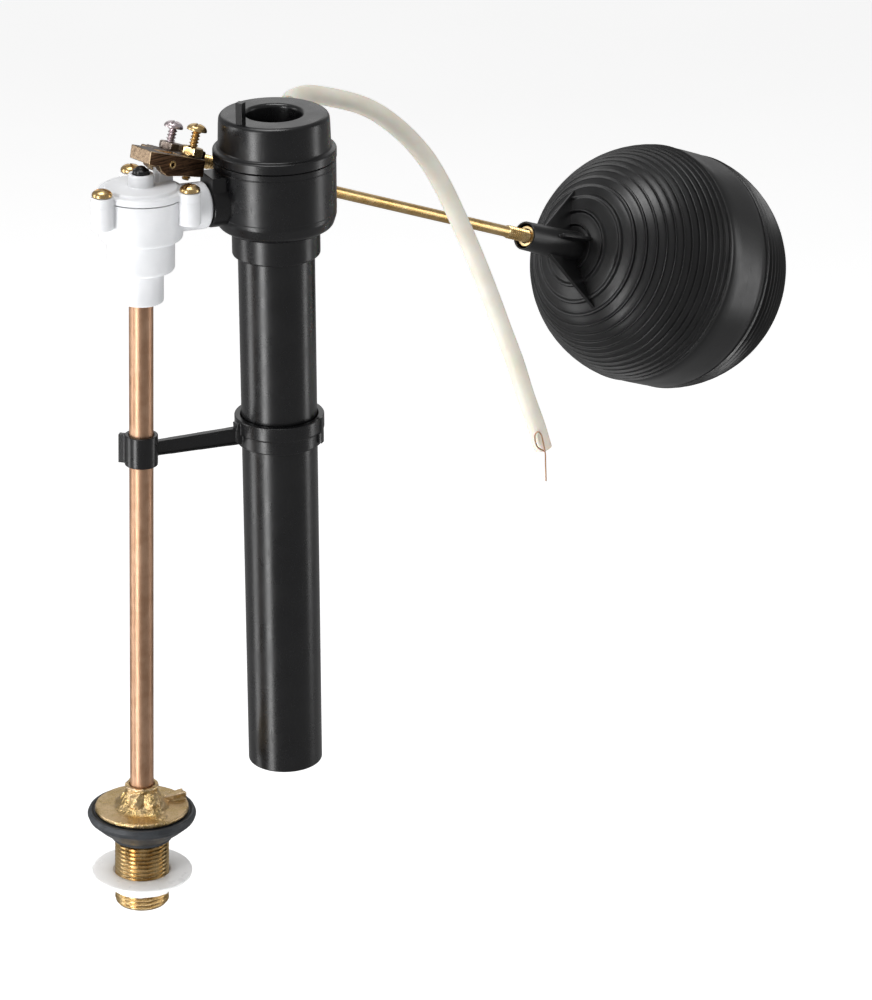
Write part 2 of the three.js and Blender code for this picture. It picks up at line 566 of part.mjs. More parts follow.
export default valve;
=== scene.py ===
"""A float valve for a cistern: the looks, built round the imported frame.

Shapes are worked out in millimetres in the frame's own axes (+Z up the riser, +X along the float rod as
seen from above) and become metres when a piece is made.
"""
import json
import math

import bmesh
import bpy
import numpy as np
from mathutils import Matrix, Vector, noise


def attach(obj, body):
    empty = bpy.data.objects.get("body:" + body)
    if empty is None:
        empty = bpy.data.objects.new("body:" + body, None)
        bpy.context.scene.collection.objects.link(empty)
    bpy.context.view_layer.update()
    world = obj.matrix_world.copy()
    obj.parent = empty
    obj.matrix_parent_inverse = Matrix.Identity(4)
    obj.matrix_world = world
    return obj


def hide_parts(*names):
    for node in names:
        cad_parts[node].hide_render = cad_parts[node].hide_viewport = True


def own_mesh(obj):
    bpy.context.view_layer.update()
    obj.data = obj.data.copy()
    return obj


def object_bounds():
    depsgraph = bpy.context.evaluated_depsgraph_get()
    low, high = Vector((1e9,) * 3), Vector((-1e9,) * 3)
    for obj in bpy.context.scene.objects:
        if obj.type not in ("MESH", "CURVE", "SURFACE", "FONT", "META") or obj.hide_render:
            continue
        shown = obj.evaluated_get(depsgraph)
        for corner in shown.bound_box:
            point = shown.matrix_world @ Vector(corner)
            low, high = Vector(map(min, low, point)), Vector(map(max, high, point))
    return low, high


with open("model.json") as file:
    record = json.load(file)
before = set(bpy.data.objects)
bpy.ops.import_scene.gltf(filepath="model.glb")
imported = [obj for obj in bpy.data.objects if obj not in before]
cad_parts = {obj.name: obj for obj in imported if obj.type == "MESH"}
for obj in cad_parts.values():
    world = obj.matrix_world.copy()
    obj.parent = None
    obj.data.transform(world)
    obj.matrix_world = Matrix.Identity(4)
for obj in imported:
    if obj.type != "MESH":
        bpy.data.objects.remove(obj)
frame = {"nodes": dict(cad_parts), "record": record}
CAD_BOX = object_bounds()
MM = 0.001

# ---- sizes and places, in millimetres, as in the CAD part ----------------------------------------
THREAD_PITCH = 1.814                 # 14 to the inch
SHANK_R = 11.1
SHANK_END_Z = -41.4
NUT_CORNER_R = 15
FINE_PITCH = 1.27                    # 20 to the inch, on the rod and the lever's screws
RISER_R = 4.765
RISER_BORE_R = 3.95
SEAM_Z = 260.8                       # between the valve's body and its cap
PAD_Z = 259.1                        # underside of the diaphragm
HORN_ANGLE = -16.4
HORN_Z = 254.2
CANISTER_REACH = 56
CANISTER_LEAN = 2.1
TUBE_R = 15.1
TUBE_BORE_R = 13.4
PIVOT = (11, 0, 272.5)
ARM_DROOP = 20.6
BLOCK_Y = 12.5
ROD_W = 2.45
HUB_U = 217.1
SCREW_CIRCLE_R = 19.6
SCREW_ANGLES = (-56.5, 63.5, 183.5)
SCREW_R = 1.6
PIN_HOLE_R = 1.6
SCREW_HOLE_R = 1.9
SCREW_LEAN = -4
FLOAT_R = 52.8
FLOAT_CENTRE = 87.7                  # from the hub's outer end
FLOAT_BAND = 10.6                    # the straight part between the two domes
FLOAT_WALL = 2
RIB_H = 1.1                          # how far a rib's lip stands out
RIB_PITCH = 3.05                     # along the float's axis
RIB_COUNT = 15
RIBS_END = 84                        # degrees from the float's axis
NIPPLE_ANGLE = 37.5
NIPPLE_Z = 29.4
BRACKET_Z = 156.6
CLIP_R = 6.55
HOSE_R = 3.8
HOSE_BORE_R = 2.55
FLOOR_DROP = 550                     # the valve is held up, well over the floor

CAMERA_PLACE = (-900.6, -1154.5, 728.6)
CAMERA_HEADING = 47.5
CAMERA_PITCH = -22
CAMERA_ROLL = 1.607
CAMERA_LENS = 144


def polar(r, angle, z):
    return (r * math.cos(math.radians(angle)), r * math.sin(math.radians(angle)), z)


def turn(angle, axis):
    return Matrix.Rotation(math.radians(angle), 4, axis)


def shift(x, y, z):
    return Matrix.Translation((x, y, z))


ALONG_X = turn(90, "Y")              # lays a turned form's axis along +X
ALONG_Y = turn(-90, "X")
CANISTER = shift(*polar(CANISTER_REACH, HORN_ANGLE, HORN_Z)) @ turn(-CANISTER_LEAN, "Y")
HORN = shift(0, 0, HORN_Z) @ turn(HORN_ANGLE, "Z") @ ALONG_X
ARM = shift(*PIVOT) @ turn(ARM_DROOP, "Y")
ROD = ARM @ shift(0, BLOCK_Y, ROD_W) @ ALONG_X
FLOAT = ARM @ shift(HUB_U, BLOCK_Y, ROD_W) @ ALONG_X
ADJUSTING = ARM @ shift(12.9, 0, 0) @ turn(SCREW_LEAN, "Y")
CLAMPING = ARM @ shift(11.9, BLOCK_Y, 0) @ turn(SCREW_LEAN, "Y")
NIPPLE = CANISTER @ shift(0, 0, NIPPLE_Z) @ turn(NIPPLE_ANGLE, "Z") @ ALONG_X


# ---- camera --------------------------------------------------------------------------------------
def make_camera():
    heading = math.radians(CAMERA_HEADING)
    pitch = math.radians(CAMERA_PITCH)
    forward = Vector((math.cos(heading) * math.cos(pitch), math.sin(heading) * math.cos(pitch),
                      math.sin(pitch)))
    level = Vector((math.sin(heading), -math.cos(heading), 0))
    upright = level.cross(forward)
    roll = math.radians(CAMERA_ROLL)
    right = math.cos(roll) * level + math.sin(roll) * upright
    up = math.cos(roll) * upright - math.sin(roll) * level
    camera = bpy.data.objects.new("camera", bpy.data.cameras.new("camera"))
    camera.data.lens = CAMERA_LENS
    camera.data.sensor_width = 36
    camera.data.clip_end = 20
    place = Vector(CAMERA_PLACE) * MM
    camera.matrix_world = Matrix.Translation(place) @ Matrix((right, up, -forward)).transposed().to_4x4()
    bpy.context.collection.objects.link(camera)
    bpy.context.scene.camera = camera


# ---- forms: points in millimetres and faces ------------------------------------------------------
class Form:
    def __init__(self, points, faces):
        self.points = np.asarray(points, dtype=float).reshape(-1, 3)
        self.faces = faces

    def moved(self, matrix):
        m = np.array(matrix)
        points = self.points @ m[:3, :3].T + m[:3, 3]
        faces = self.faces
        if matrix.determinant() < 0:
            faces = [tuple(reversed(f)) for f in faces]
        return Form(points, faces)

    def __add__(self, other):
        offset = len(self.points)
        faces = self.faces + [tuple(i + offset for i in f) for f in other.faces]
        return Form(np.vstack([self.points, other.points]), faces)


def rounded(points, closed=False, steps=5):
    """An outline of (x, y) points with arcs at the corners that are given as (x, y, radius)."""
    corners = [(Vector(p[:2]), p[2] if len(p) > 2 else 0) for p in points]
    outline = []
    for i, (corner, radius) in enumerate(corners):
        at_end = not closed and i in (0, len(corners) - 1)
        if radius <= 0 or at_end:
            outline.append(tuple(corner))
            continue
        before = corners[i - 1][0] - corner
        after = corners[(i + 1) % len(corners)][0] - corner
        half = before.angle(after) / 2
        if half > math.radians(89):
            outline.append(tuple(corner))
            continue
        reach = min(radius / math.tan(half), 0.49 * before.length, 0.49 * after.length)
        size = reach * math.tan(half)
        centre = corner + (before.normalized() + after.normalized()).normalized() * size / math.sin(half)
        first = corner + before.normalized() * reach - centre
        last = corner + after.normalized() * reach - centre
        start = math.atan2(first.y, first.x)
        sweep = (math.atan2(last.y, last.x) - start + math.pi) % (2 * math.pi) - math.pi
        for k in range(steps + 1):
            a = start + sweep * k / steps
            outline.append((centre.x + size * math.cos(a), centre.y + size * math.sin(a)))
    return outline


def revolve(points, segments=128, steps=5, radius=None):
    """A turned form round +Z from (r, z) or (r, z, corner radius) points. Ends on the axis or closes on
    itself. radius(angles, r, z) may change the radius round the axis."""
    closed = points[0][0] > 1e-6 or points[-1][0] > 1e-6
    outline = rounded(points, closed, steps)
    angles = np.arange(segments) * 2 * math.pi / segments
    rows, verts = [], []
    for r, z in outline:
        if r < 1e-6:
            rows.append([len(verts)])
            verts.append((0, 0, z))
            continue
        rr = np.full(segments, r) if radius is None else radius(angles, r, z)
        rows.append(list(range(len(verts), len(verts) + segments)))
        verts.extend(zip(rr * np.cos(angles), rr * np.sin(angles), np.full(segments, z)))
    faces = []
    pairs = list(zip(rows, rows[1:])) + ([(rows[-1], rows[0])] if closed else [])
    for low, high in pairs:
        for i in range(segments):
            j = (i + 1) % segments
            if len(low) == 1:
                faces.append((low[0], high[j], high[i]))
            elif len(high) == 1:
                faces.append((low[i], low[j], high[0]))
            else:
                faces.append((low[i], low[j], high[j], high[i]))
    return outward(Form(verts, faces))


def outward(form):
    """The form with its faces turned out, by the sign of its volume."""
    p = form.points
    volume = 0.0
    for face in form.faces:
        for k in range(1, len(face) - 1):
            volume += np.dot(p[face[0]], np.cross(p[face[k]], p[face[k + 1]]))
    return form if volume > 0 else Form(p, [tuple(reversed(f)) for f in form.faces])


def bevelled(form, size, segments=3):
    """The form with every edge rounded."""
    bm = bmesh.new()
    verts = [bm.verts.new(p) for p in form.points]
    for face in form.faces:
        bm.faces.new([verts[i] for i in face])
    sharp = [e for e in bm.edges if e.calc_face_angle(0) > math.radians(25)]
    bmesh.ops.bevel(bm, geom=sharp, offset=size, segments=segments, profile=0.5,
                    affect="EDGES", clamp_overlap=True)
    bm.verts.index_update()
    result = Form([v.co[:] for v in bm.verts], [tuple(v.index for v in f.verts) for f in bm.faces])
    bm.free()
    return result


def plate(points, y0, y1, edge=0.0):
    """A plate cut to an outline of (x, z) or (x, z, corner radius) points, lying from y0 to y1."""
    outline = rounded(points, closed=True)
    n = len(outline)
    verts = [(x, y0, z) for x, z in outline] + [(x, y1, z) for x, z in outline]
    faces = [tuple(range(n)), tuple(range(2 * n - 1, n - 1, -1))]
    faces += [((i + 1) % n, i, i + n, (i + 1) % n + n) for i in range(n)]
    form = outward(Form(verts, faces))
    return bevelled(form, edge) if edge else form


def block(low, high, edge=0.0):
    (x0, y0, z0), (x1, y1, z1) = low, high
    return plate([(x0, z0), (x1, z0), (x1, z1), (x0, z1)], y0, y1, edge)


def rod(r, z0, z1, edge=0.0, segments=96):
    return revolve([(0, z0), (r, z0, edge), (r, z1, edge), (0, z1)], segments)


def ring(r0, r1, z0, z1, edge=0.0, segments=128):
    return revolve([(r0, z0, edge), (r1, z0, edge), (r1, z1, edge), (r0, z1, edge)], segments)


def thread(r, depth, pitch, z0, z1, bore=0.0, lead=1.0, segments=96):
    """A right-hand screw thread with chamfered ends, solid or with a bore."""
    per_pitch = 12
    rows = max(8, int((z1 - z0) / pitch * per_pitch))
    heights = np.linspace(z0, z1, rows + 1)
    angles = np.arange(segments) * 2 * math.pi / segments

    def radius(angle, _, z):
        phase = (z / pitch - angle / (2 * math.pi)) % 1.0
        # a V with a flat root
        groove = np.clip(1.15 - 2.3 * np.abs(phase - 0.5), 0, 0.92)
        ends = min(z - z0, z1 - z)
        return r - np.maximum(depth * groove, depth * max(0.0, 1 - ends / lead))

    verts = []
    for z in heights:
        rr = radius(angles, r, z)
        verts.extend(zip(rr * np.cos(angles), rr * np.sin(angles), np.full(segments, z)))
    for z in (z1, z0):
        if bore:
            verts.extend((bore * math.cos(a), bore * math.sin(a), z) for a in angles)
        else:
            verts.append((0, 0, z))
    faces = []
    for k in range(rows):
        low, high = k * segments, (k + 1) * segments
        for i in range(segments):
            j = (i + 1) % segments
            faces.append((low + i, low + j, high + j, high + i))
    last = rows * segments
    top = (rows + 1) * segments
    for i in range(segments):
        j = (i + 1) % segments
        if bore:
            bottom = top + segments
            faces.append((last + i, last + j, top + j, top + i))
            faces.append((top + i, top + j, bottom + j, bottom + i))
            faces.append((bottom + i, bottom + j, j, i))
        else:
            faces.append((last + i, last + j, top))
            faces.append((j, i, top + 1))
    return outward(Form(verts, faces))


def smooth_path(points, per_span=10):
    """Points on a centripetal Catmull-Rom curve through the given ones."""
    p = [Vector(q) for q in points]
    p = [2 * p[0] - p[1]] + p + [2 * p[-1] - p[-2]]
    path = []
    for i in range(1, len(p) - 2):
        a, b, c, d = p[i - 1:i + 3]
        t1 = (b - a).length ** 0.5
        t2 = t1 + (c - b).length ** 0.5
        t3 = t2 + (d - c).length ** 0.5
        for k in range(per_span):
            t = t1 + (t2 - t1) * k / per_span
            ab = a * (t1 - t) / t1 + b * t / t1
            bc = b * (t2 - t) / (t2 - t1) + c * (t - t1) / (t2 - t1)
            cd = c * (t3 - t) / (t3 - t2) + d * (t - t2) / (t3 - t2)
            abc = ab * (t2 - t) / t2 + bc * t / t2
            bcd = bc * (t3 - t) / (t3 - t1) + cd * (t - t1) / (t3 - t1)
            path.append(abc * (t2 - t) / (t2 - t1) + bcd * (t - t1) / (t2 - t1))
    path.append(p[-2])
    return path


def tube(path, r, bore=0.0, sides=32, cap=0.0):
    """A tube along a path, open with a bore, or solid with ends that dome out by cap."""
    tangents = [(path[min(i + 1, len(path) - 1)] - path[max(i - 1, 0)]).normalized()
                for i in range(len(path))]
    side = tangents[0].orthogonal().normalized()
    rings, verts, faces = [], [], []

    def add_ring(centre, tangent, across, radius):
        other = tangent.cross(across)
        rings.append(range(len(verts), len(verts) + sides))
        for k in range(sides):
            a = 2 * math.pi * k / sides
            verts.append(centre + radius * (math.cos(a) * across + math.sin(a) * other))

    frames = []
    for point, tangent in zip(path, tangents):
        side = (side - tangent * side.dot(tangent)).normalized()
        frames.append((point, tangent, side.copy()))
    if cap:
        for k in range(4):
            a = math.pi / 2 * (1 - k / 4)
            point, tangent, across = frames[0]
            add_ring(point - tangent * cap * math.sin(a), tangent, across, max(r * math.cos(a), r * 0.05))
    for frame_here in frames:
        add_ring(*frame_here, r)
    if cap:
        for k in range(1, 5):
            a = math.pi / 2 * k / 4
            point, tangent, across = frames[-1]
            add_ring(point + tangent * cap * math.sin(a), tangent, across, max(r * math.cos(a), r * 0.05))
    if bore:
        edge = 0.35 * (r - bore)
        for frame_here in reversed(frames):
            add_ring(*frame_here, bore)
        count = len(frames)
        for index, pull in ((0, -1), (count - 1, 1), (count, 1), (2 * count - 1, -1)):
            tangent = tangents[0] if pull < 0 else tangents[-1]
            for i in rings[index]:
                verts[i] -= tangent * pull * edge * (0 if index in (count, 2 * count - 1) else 1)
    pairs = list(zip(rings, rings[1:])) + ([(rings[-1], rings[0])] if bore else [])
    for low, high in pairs:
        for i in range(sides):
            j = (i + 1) % sides
            faces.append((low[i], low[j], high[j], high[i]))
    if not bore:
        faces.append(tuple(reversed(rings[0])))
        faces.append(tuple(rings[-1]))
    return outward(Form([tuple(v) for v in verts], faces))


# ---- pieces --------------------------------------------------------------------------------------
def make_object(name, form):
    mesh = bpy.data.meshes.new(name)
    mesh.from_pydata((form.points * MM).tolist(), [], form.faces)
    mesh.validate()
    made = bpy.data.objects.new(name, mesh)
    bpy.context.collection.objects.link(made)
    return made


def apply_modifiers(obj):
    graph = bpy.context.evaluated_depsgraph_get()
    mesh = bpy.data.meshes.new_from_object(obj.evaluated_get(graph))
    obj.modifiers.clear()
    old = obj.data
    obj.data = mesh
    bpy.data.meshes.remove(old)


def carve(obj, tools, operation):
    """Adds forms or objects to an object, or takes them away from it, with exact booleans."""
    for tool in tools:
        if isinstance(tool, Form):
            tool = make_object("tool", tool)
        modifier = obj.modifiers.new("carve", "BOOLEAN")
        modifier.operation = operation
        modifier.solver = "EXACT"
        modifier.object = tool
        apply_modifiers(obj)
        bpy.data.objects.remove(tool)
    return obj


def mould(name, forms, voxel=0.25, soften=4):
    """One skin over overlapping forms, with small fillets where they meet, as in a casting."""
    together = forms[0]
    for form in forms[1:]:
        together = together + form
    obj = make_object(name, together)
    remesh = obj.modifiers.new("skin", "REMESH")
    remesh.mode = "VOXEL"
    remesh.voxel_size = voxel * MM
    smooth = obj.modifiers.new("soften", "SMOOTH")
    smooth.factor = 0.5
    smooth.iterations = soften
    apply_modifiers(obj)
    return obj


def finish_piece(obj, material, body, node, sharp=35):
    """Shades a piece, gives it its material and body, and lets it stand for its CAD node."""
    obj.data.name = obj.name
    obj.data.materials.clear()
    obj.data.materials.append(MATERIALS[material])
    obj.data.polygons.foreach_set("use_smooth", [True] * len(obj.data.polygons))
    obj.data.set_sharp_from_angle(angle=math.radians(sharp))
    weighted = obj.modifiers.new("normals", "WEIGHTED_NORMAL")
    weighted.keep_sharp = True
    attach(obj, body)
    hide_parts(node)
    return obj


def piece(node, form, material, body="frame", name=None, sharp=35):
    return finish_piece(make_object(name or f"{node}_form", form), material, body, node, sharp)


# ---- materials -----------------------------------------------------------------------------------
class Surface:
    """One procedural material. Coordinates are the piece's own, in metres."""

    def __init__(self, name, roughness, metallic=0.0, **fixed):
        self.material = bpy.data.materials.new(name)
        self.material.use_nodes = True
        self.tree = self.material.node_tree
        self.shader = self.tree.nodes["Principled BSDF"]
        self.where = self.node("ShaderNodeTexCoord").outputs["Object"]
        self.height = None
        self.shader.inputs["Roughness"].default_value = roughness
        self.shader.inputs["Metallic"].default_value = metallic
        for key, value in fixed.items():
            self.shader.inputs[key.replace("_", " ")].default_value = value

    def node(self, kind, **inputs):
        made = self.tree.nodes.new(kind)
        for key, value in inputs.items():
            self.feed(made.inputs[key.replace("_", " ")], value)
        return made

    def feed(self, socket, value):
        if isinstance(value, bpy.types.NodeSocket):
            self.tree.links.new(value, socket)
        else:
            socket.default_value = value

    def noise(self, scale, detail=4.0, roughness=0.55, stretch=(1, 1, 1), turned=(0, 0, 0)):
        """Noise with about `scale` blobs a metre; stretch over 1 makes it finer along that axis."""
        mapping = self.node("ShaderNodeMapping", Vector=self.where, Scale=stretch, Rotation=turned)
        made = self.node("ShaderNodeTexNoise", Vector=mapping.outputs[0], Scale=scale, Detail=detail,
                         Roughness=roughness)
        return made.outputs["Fac"]

    def span(self, value, low, high, to_low=0.0, to_high=1.0):
        made = self.node("ShaderNodeMapRange", Value=value)
        made.interpolation_type = "SMOOTHSTEP"
        for key, number in (("From Min", low), ("From Max", high), ("To Min", to_low), ("To Max", to_high)):
            made.inputs[key].default_value = number
        return made.outputs[0]

    def mix(self, factor, a, b):
        made = self.tree.nodes.new("ShaderNodeMix")
        made.data_type = "RGBA"
        colour_a, colour_b = made.inputs[6], made.inputs[7]      # the sockets used for RGBA
        for socket, value in ((made.inputs[0], factor), (colour_a, a), (colour_b, b)):
            if isinstance(value, (tuple, list)):
                value = (*value[:3], 1.0)
            self.feed(socket, value)
        return made.outputs[2]

    def math(self, operation, a, b):
        made = self.tree.nodes.new("ShaderNodeMath")
        made.operation = operation
        self.feed(made.inputs[0], a)
        self.feed(made.inputs[1], b)
        return made.outputs[0]

    def edges(self, low, high):
        """1 on outside edges and 0 elsewhere; used both for wear and for painted highlights."""
        return self.span(self.node("ShaderNodeNewGeometry").outputs["Pointiness"], low, high)

    def hollows(self, low=0.4, high=0.49):
        """1 in hollows and 0 elsewhere."""
        return self.span(self.node("ShaderNodeNewGeometry").outputs["Pointiness"], low, high, 1.0, 0.0)

    def facing(self, direction, low=0.6, high=0.85):
        """1 where the surface faces a direction of the piece's own axes and 0 elsewhere."""
        made = self.tree.nodes.new("ShaderNodeVectorMath")
        made.operation = "DOT_PRODUCT"
        normal = self.node("ShaderNodeTexCoord").outputs["Normal"]
        self.feed(made.inputs[0], normal)
        made.inputs[1].default_value = direction
        return self.span(made.outputs["Value"], low, high)

    def colour(self, value):
        self.feed(self.shader.inputs["Base Color"], (*value[:3], 1) if isinstance(value, tuple) else value)

    def rough(self, value):
        self.feed(self.shader.inputs["Roughness"], value)

    def bump(self, height, distance, strength=1.0):
        """Adds a bump of `distance` metres from a 0 to 1 height."""
        made = self.node("ShaderNodeBump", Height=height, Strength=strength, Distance=distance)
        if self.height is not None:
            self.feed(made.inputs["Normal"], self.height)
        self.height = made.outputs[0]
        self.feed(self.shader.inputs["Normal"], self.height)


def moulded_plastic(name, dark, light, roughness, grain=0.0000012, wave=0.00004, **fixed):
    """Moulded plastic: faint cloudy colour, fine grain, a few scuffs and softer, paler edges; the paler edges
    are part wear and part painted highlight.
    """
    s = Surface(name, roughness, **fixed)
    cloud = s.noise(60, 5)
    scuffs = s.span(s.noise(900, 3, stretch=(1, 1, 0.12), turned=(0.3, 0.2, 0)), 0.62, 0.74)
    base = s.mix(s.span(cloud, 0.3, 0.7), dark, light)
    paler = tuple(min(1.0, c * 1.6 + 0.01) for c in light)
    # painted highlight and wear: outside edges mixed a little towards a paler colour
    s.colour(s.mix(s.math("MULTIPLY", s.edges(0.54, 0.7), 0.15), base, paler))
    rough = s.span(s.noise(90, 4), 0.3, 0.7, roughness - 0.03, roughness + 0.04)
    s.rough(s.math("ADD", rough, s.math("MULTIPLY", scuffs, 0.1)))
    s.bump(s.noise(3500, 3), grain, 0.6)
    s.bump(s.noise(160, 2), wave, 0.5)
    return s.material


def metal(name, dark, mid, bright, roughness, streaks=(1, 1, 1), wear_and_highlight=(0.52, 0.6), pits=0.0, lines=0.00001):
    """Worked metal: tarnish and painted shade in the hollows, bright edges that are part wear and part
    painted highlight, tool or drawing marks and pits.
    """
    s = Surface(name, roughness, metallic=1.0)
    cloud = s.span(s.noise(140, 6, 0.6), 0.32, 0.68)
    marks = s.noise(2600, 3, 0.6, stretch=streaks)
    base = s.mix(cloud, mid, tuple(0.55 * m + 0.45 * b for m, b in zip(mid, bright)))
    base = s.mix(s.span(marks, 0.35, 0.75, 0.0, 0.35), base, dark)
    # tarnish and painted shade: darker in the hollows and thread roots
    base = s.mix(s.math("MULTIPLY", s.hollows(), 0.8), base, dark)
    # wear and painted highlight: brighter on the outside edges
    s.colour(s.mix(s.math("MULTIPLY", s.edges(*wear_and_highlight), 0.9), base, bright))
    rough = s.span(marks, 0.3, 0.7, roughness - 0.06, roughness + 0.1)
    s.rough(s.math("ADD", rough, s.span(cloud, 0, 1, 0.0, 0.08)))
    s.bump(marks, lines, 0.8)
    if pits:
        s.bump(s.noise(1100, 6, 0.65), pits, 1.0)
    return s.material


def lever_bronze():
    """Stained bronze: streaks along the arm, a bright cut end, dark scuffed tops, worn edges and painted
    shade in the hollows.
    """
    s = Surface("bronze", 0.36, metallic=1.0)
    arm_turn = (0, -math.radians(ARM_DROOP), 0)
    streaks = s.noise(1900, 3, 0.6, stretch=(0.05, 1, 1), turned=arm_turn)
    spots = s.noise(1300, 5, 0.7)
    side = s.mix(s.span(streaks, 0.38, 0.64), (0.06, 0.035, 0.022), (0.24, 0.135, 0.075))
    top = s.mix(s.span(spots, 0.45, 0.66), (0.06, 0.045, 0.04), (0.26, 0.2, 0.17))
    end = s.mix(s.span(spots, 0.35, 0.65), (0.17, 0.12, 0.08), (0.42, 0.31, 0.21))
    droop = math.radians(ARM_DROOP)
    colour = s.mix(s.facing((math.sin(droop), 0, math.cos(droop))), side, top)
    colour = s.mix(s.facing((-math.cos(droop), 0, math.sin(droop))), colour, end)
    # painted shade: near black in the hollows
    colour = s.mix(s.math("MULTIPLY", s.hollows(), 0.7), colour, (0.03, 0.02, 0.015))
    s.colour(s.mix(s.edges(0.51, 0.56), colour, (0.9, 0.68, 0.42)))
    s.rough(s.span(spots, 0.3, 0.7, 0.26, 0.5))
    s.bump(streaks, 0.00002, 0.8)
    s.bump(spots, 0.00004, 0.8)
    return s.material


def rubber_like(name, dark, light, roughness):
    """Moulded rubber: dusty bloom on the high spots and a fine grain."""
    s = Surface(name, roughness)
    bloom = s.span(s.noise(220, 6, 0.65), 0.35, 0.7)
    s.colour(s.mix(bloom, dark, light))
    s.rough(s.span(s.noise(400, 4), 0.3, 0.7, roughness - 0.06, roughness + 0.08))
    s.bump(s.noise(2600, 5, 0.65), 0.00005, 0.7)
    return s.material


def make_materials():
    milky = {"Subsurface_Radius": (1, 1, 1)}
    made = {
        "acetal": moulded_plastic(
            "acetal", (0.7, 0.71, 0.728), (0.77, 0.778, 0.795), 0.34,
            Subsurface_Weight=0.12, Subsurface_Scale=0.002, **milky),
        "nylon": moulded_plastic(
            "nylon", (0.91, 0.915, 0.915), (0.93, 0.935, 0.935), 0.3, grain=0.000001, wave=0.000001,
            Subsurface_Weight=0.6, Subsurface_Scale=0.004, **milky),
        "black_plastic": moulded_plastic(
            "black_plastic", (0.0025, 0.0025, 0.003), (0.0045, 0.0045, 0.005), 0.28, wave=0.00001,
            Specular_IOR_Level=0.5),
        "float_plastic": moulded_plastic(
            "float_plastic", (0.003, 0.003, 0.0033), (0.0055, 0.0055, 0.006), 0.34, Specular_IOR_Level=0.55),
        "grey_rubber": rubber_like("grey_rubber", (0.016, 0.018, 0.021), (0.032, 0.036, 0.042), 0.5),
        "black_rubber": rubber_like("black_rubber", (0.01, 0.01, 0.011), (0.022, 0.022, 0.024), 0.6),
        "brass": metal(
            "brass", (0.26, 0.14, 0.035), (0.6, 0.38, 0.14), (0.95, 0.76, 0.44), 0.2,
            streaks=(1, 1, 6), lines=0.000004),
        "cast_brass": metal(
            "cast_brass", (0.14, 0.095, 0.02), (0.56, 0.39, 0.16), (1.0, 0.78, 0.54), 0.27,
            wear_and_highlight=(0.512, 0.55), pits=0.00022),
        "bronze": lever_bronze(),
        "copper": metal(
            "copper", (0.25, 0.13, 0.07), (0.5, 0.29, 0.18), (0.78, 0.53, 0.37), 0.38,
            streaks=(4, 4, 0.03)),
        "zinc_steel": metal("zinc_steel", (0.34, 0.27, 0.28), (0.62, 0.53, 0.55), (0.86, 0.8, 0.82), 0.3),
        "dark_steel": metal(
            "dark_steel", (0.08, 0.06, 0.05), (0.26, 0.2, 0.17), (0.55, 0.48, 0.42), 0.42, pits=0.00005),
    }
    vinyl = Surface("vinyl", 0.38, Subsurface_Weight=0.35, Subsurface_Scale=0.003)
    vinyl.colour(vinyl.mix(vinyl.span(vinyl.noise(90, 5), 0.3, 0.7), (0.7, 0.66, 0.57), (0.77, 0.73, 0.65)))
    vinyl.rough(vinyl.span(vinyl.noise(500, 3), 0.3, 0.7, 0.32, 0.46))
    vinyl.bump(vinyl.noise(1500, 3), 0.00002, 0.5)
    made["vinyl"] = vinyl.material
    return made


# ---- refill hose, and the wire clip on its end ---------------------------------------------------
def make_hose():
    mouth = [CANISTER @ Vector(polar(r, NIPPLE_ANGLE, NIPPLE_Z)) for r in (24.2, 28.2, 32.2)]
    route = mouth + [
        (86.6, 4.9, 284.6), (96.4, 1, 282.6), (108, -7, 278.3), (117.6, -13.7, 270.4), (126.8, -20, 258.7),
        (133, -24.3, 246.6), (138.3, -27.9, 233.5), (144, -31.8, 218.2), (149.8, -35.8, 201.1),
        (155, -39.4, 184.6), (159.8, -42.7, 169.6), (163.9, -45.5, 154.6), (167.9, -48.2, 141.6),
        (170.7, -50, 131.2),
    ]
    path = smooth_path(route)
    hose = piece("refill_hose", tube(path, HOSE_R, HOSE_BORE_R, sides=48), "vinyl", sharp=50)

    wire = [
        (167.2, -54.6, 132.4), (164.9, -52.7, 134.2), (163.9, -51.9, 137.4), (163.9, -51.9, 139.8),
        (164.8, -52.6, 141), (165.8, -53.4, 139.8), (166.5, -54, 136.7), (167.3, -54.8, 131.4),
        (167.7, -54.7, 127.5), (168.2, -54.9, 119.3),
    ]
    clip = piece("hose_clip_wire", tube(smooth_path(wire), 0.32, sides=16, cap=0.25), "copper")


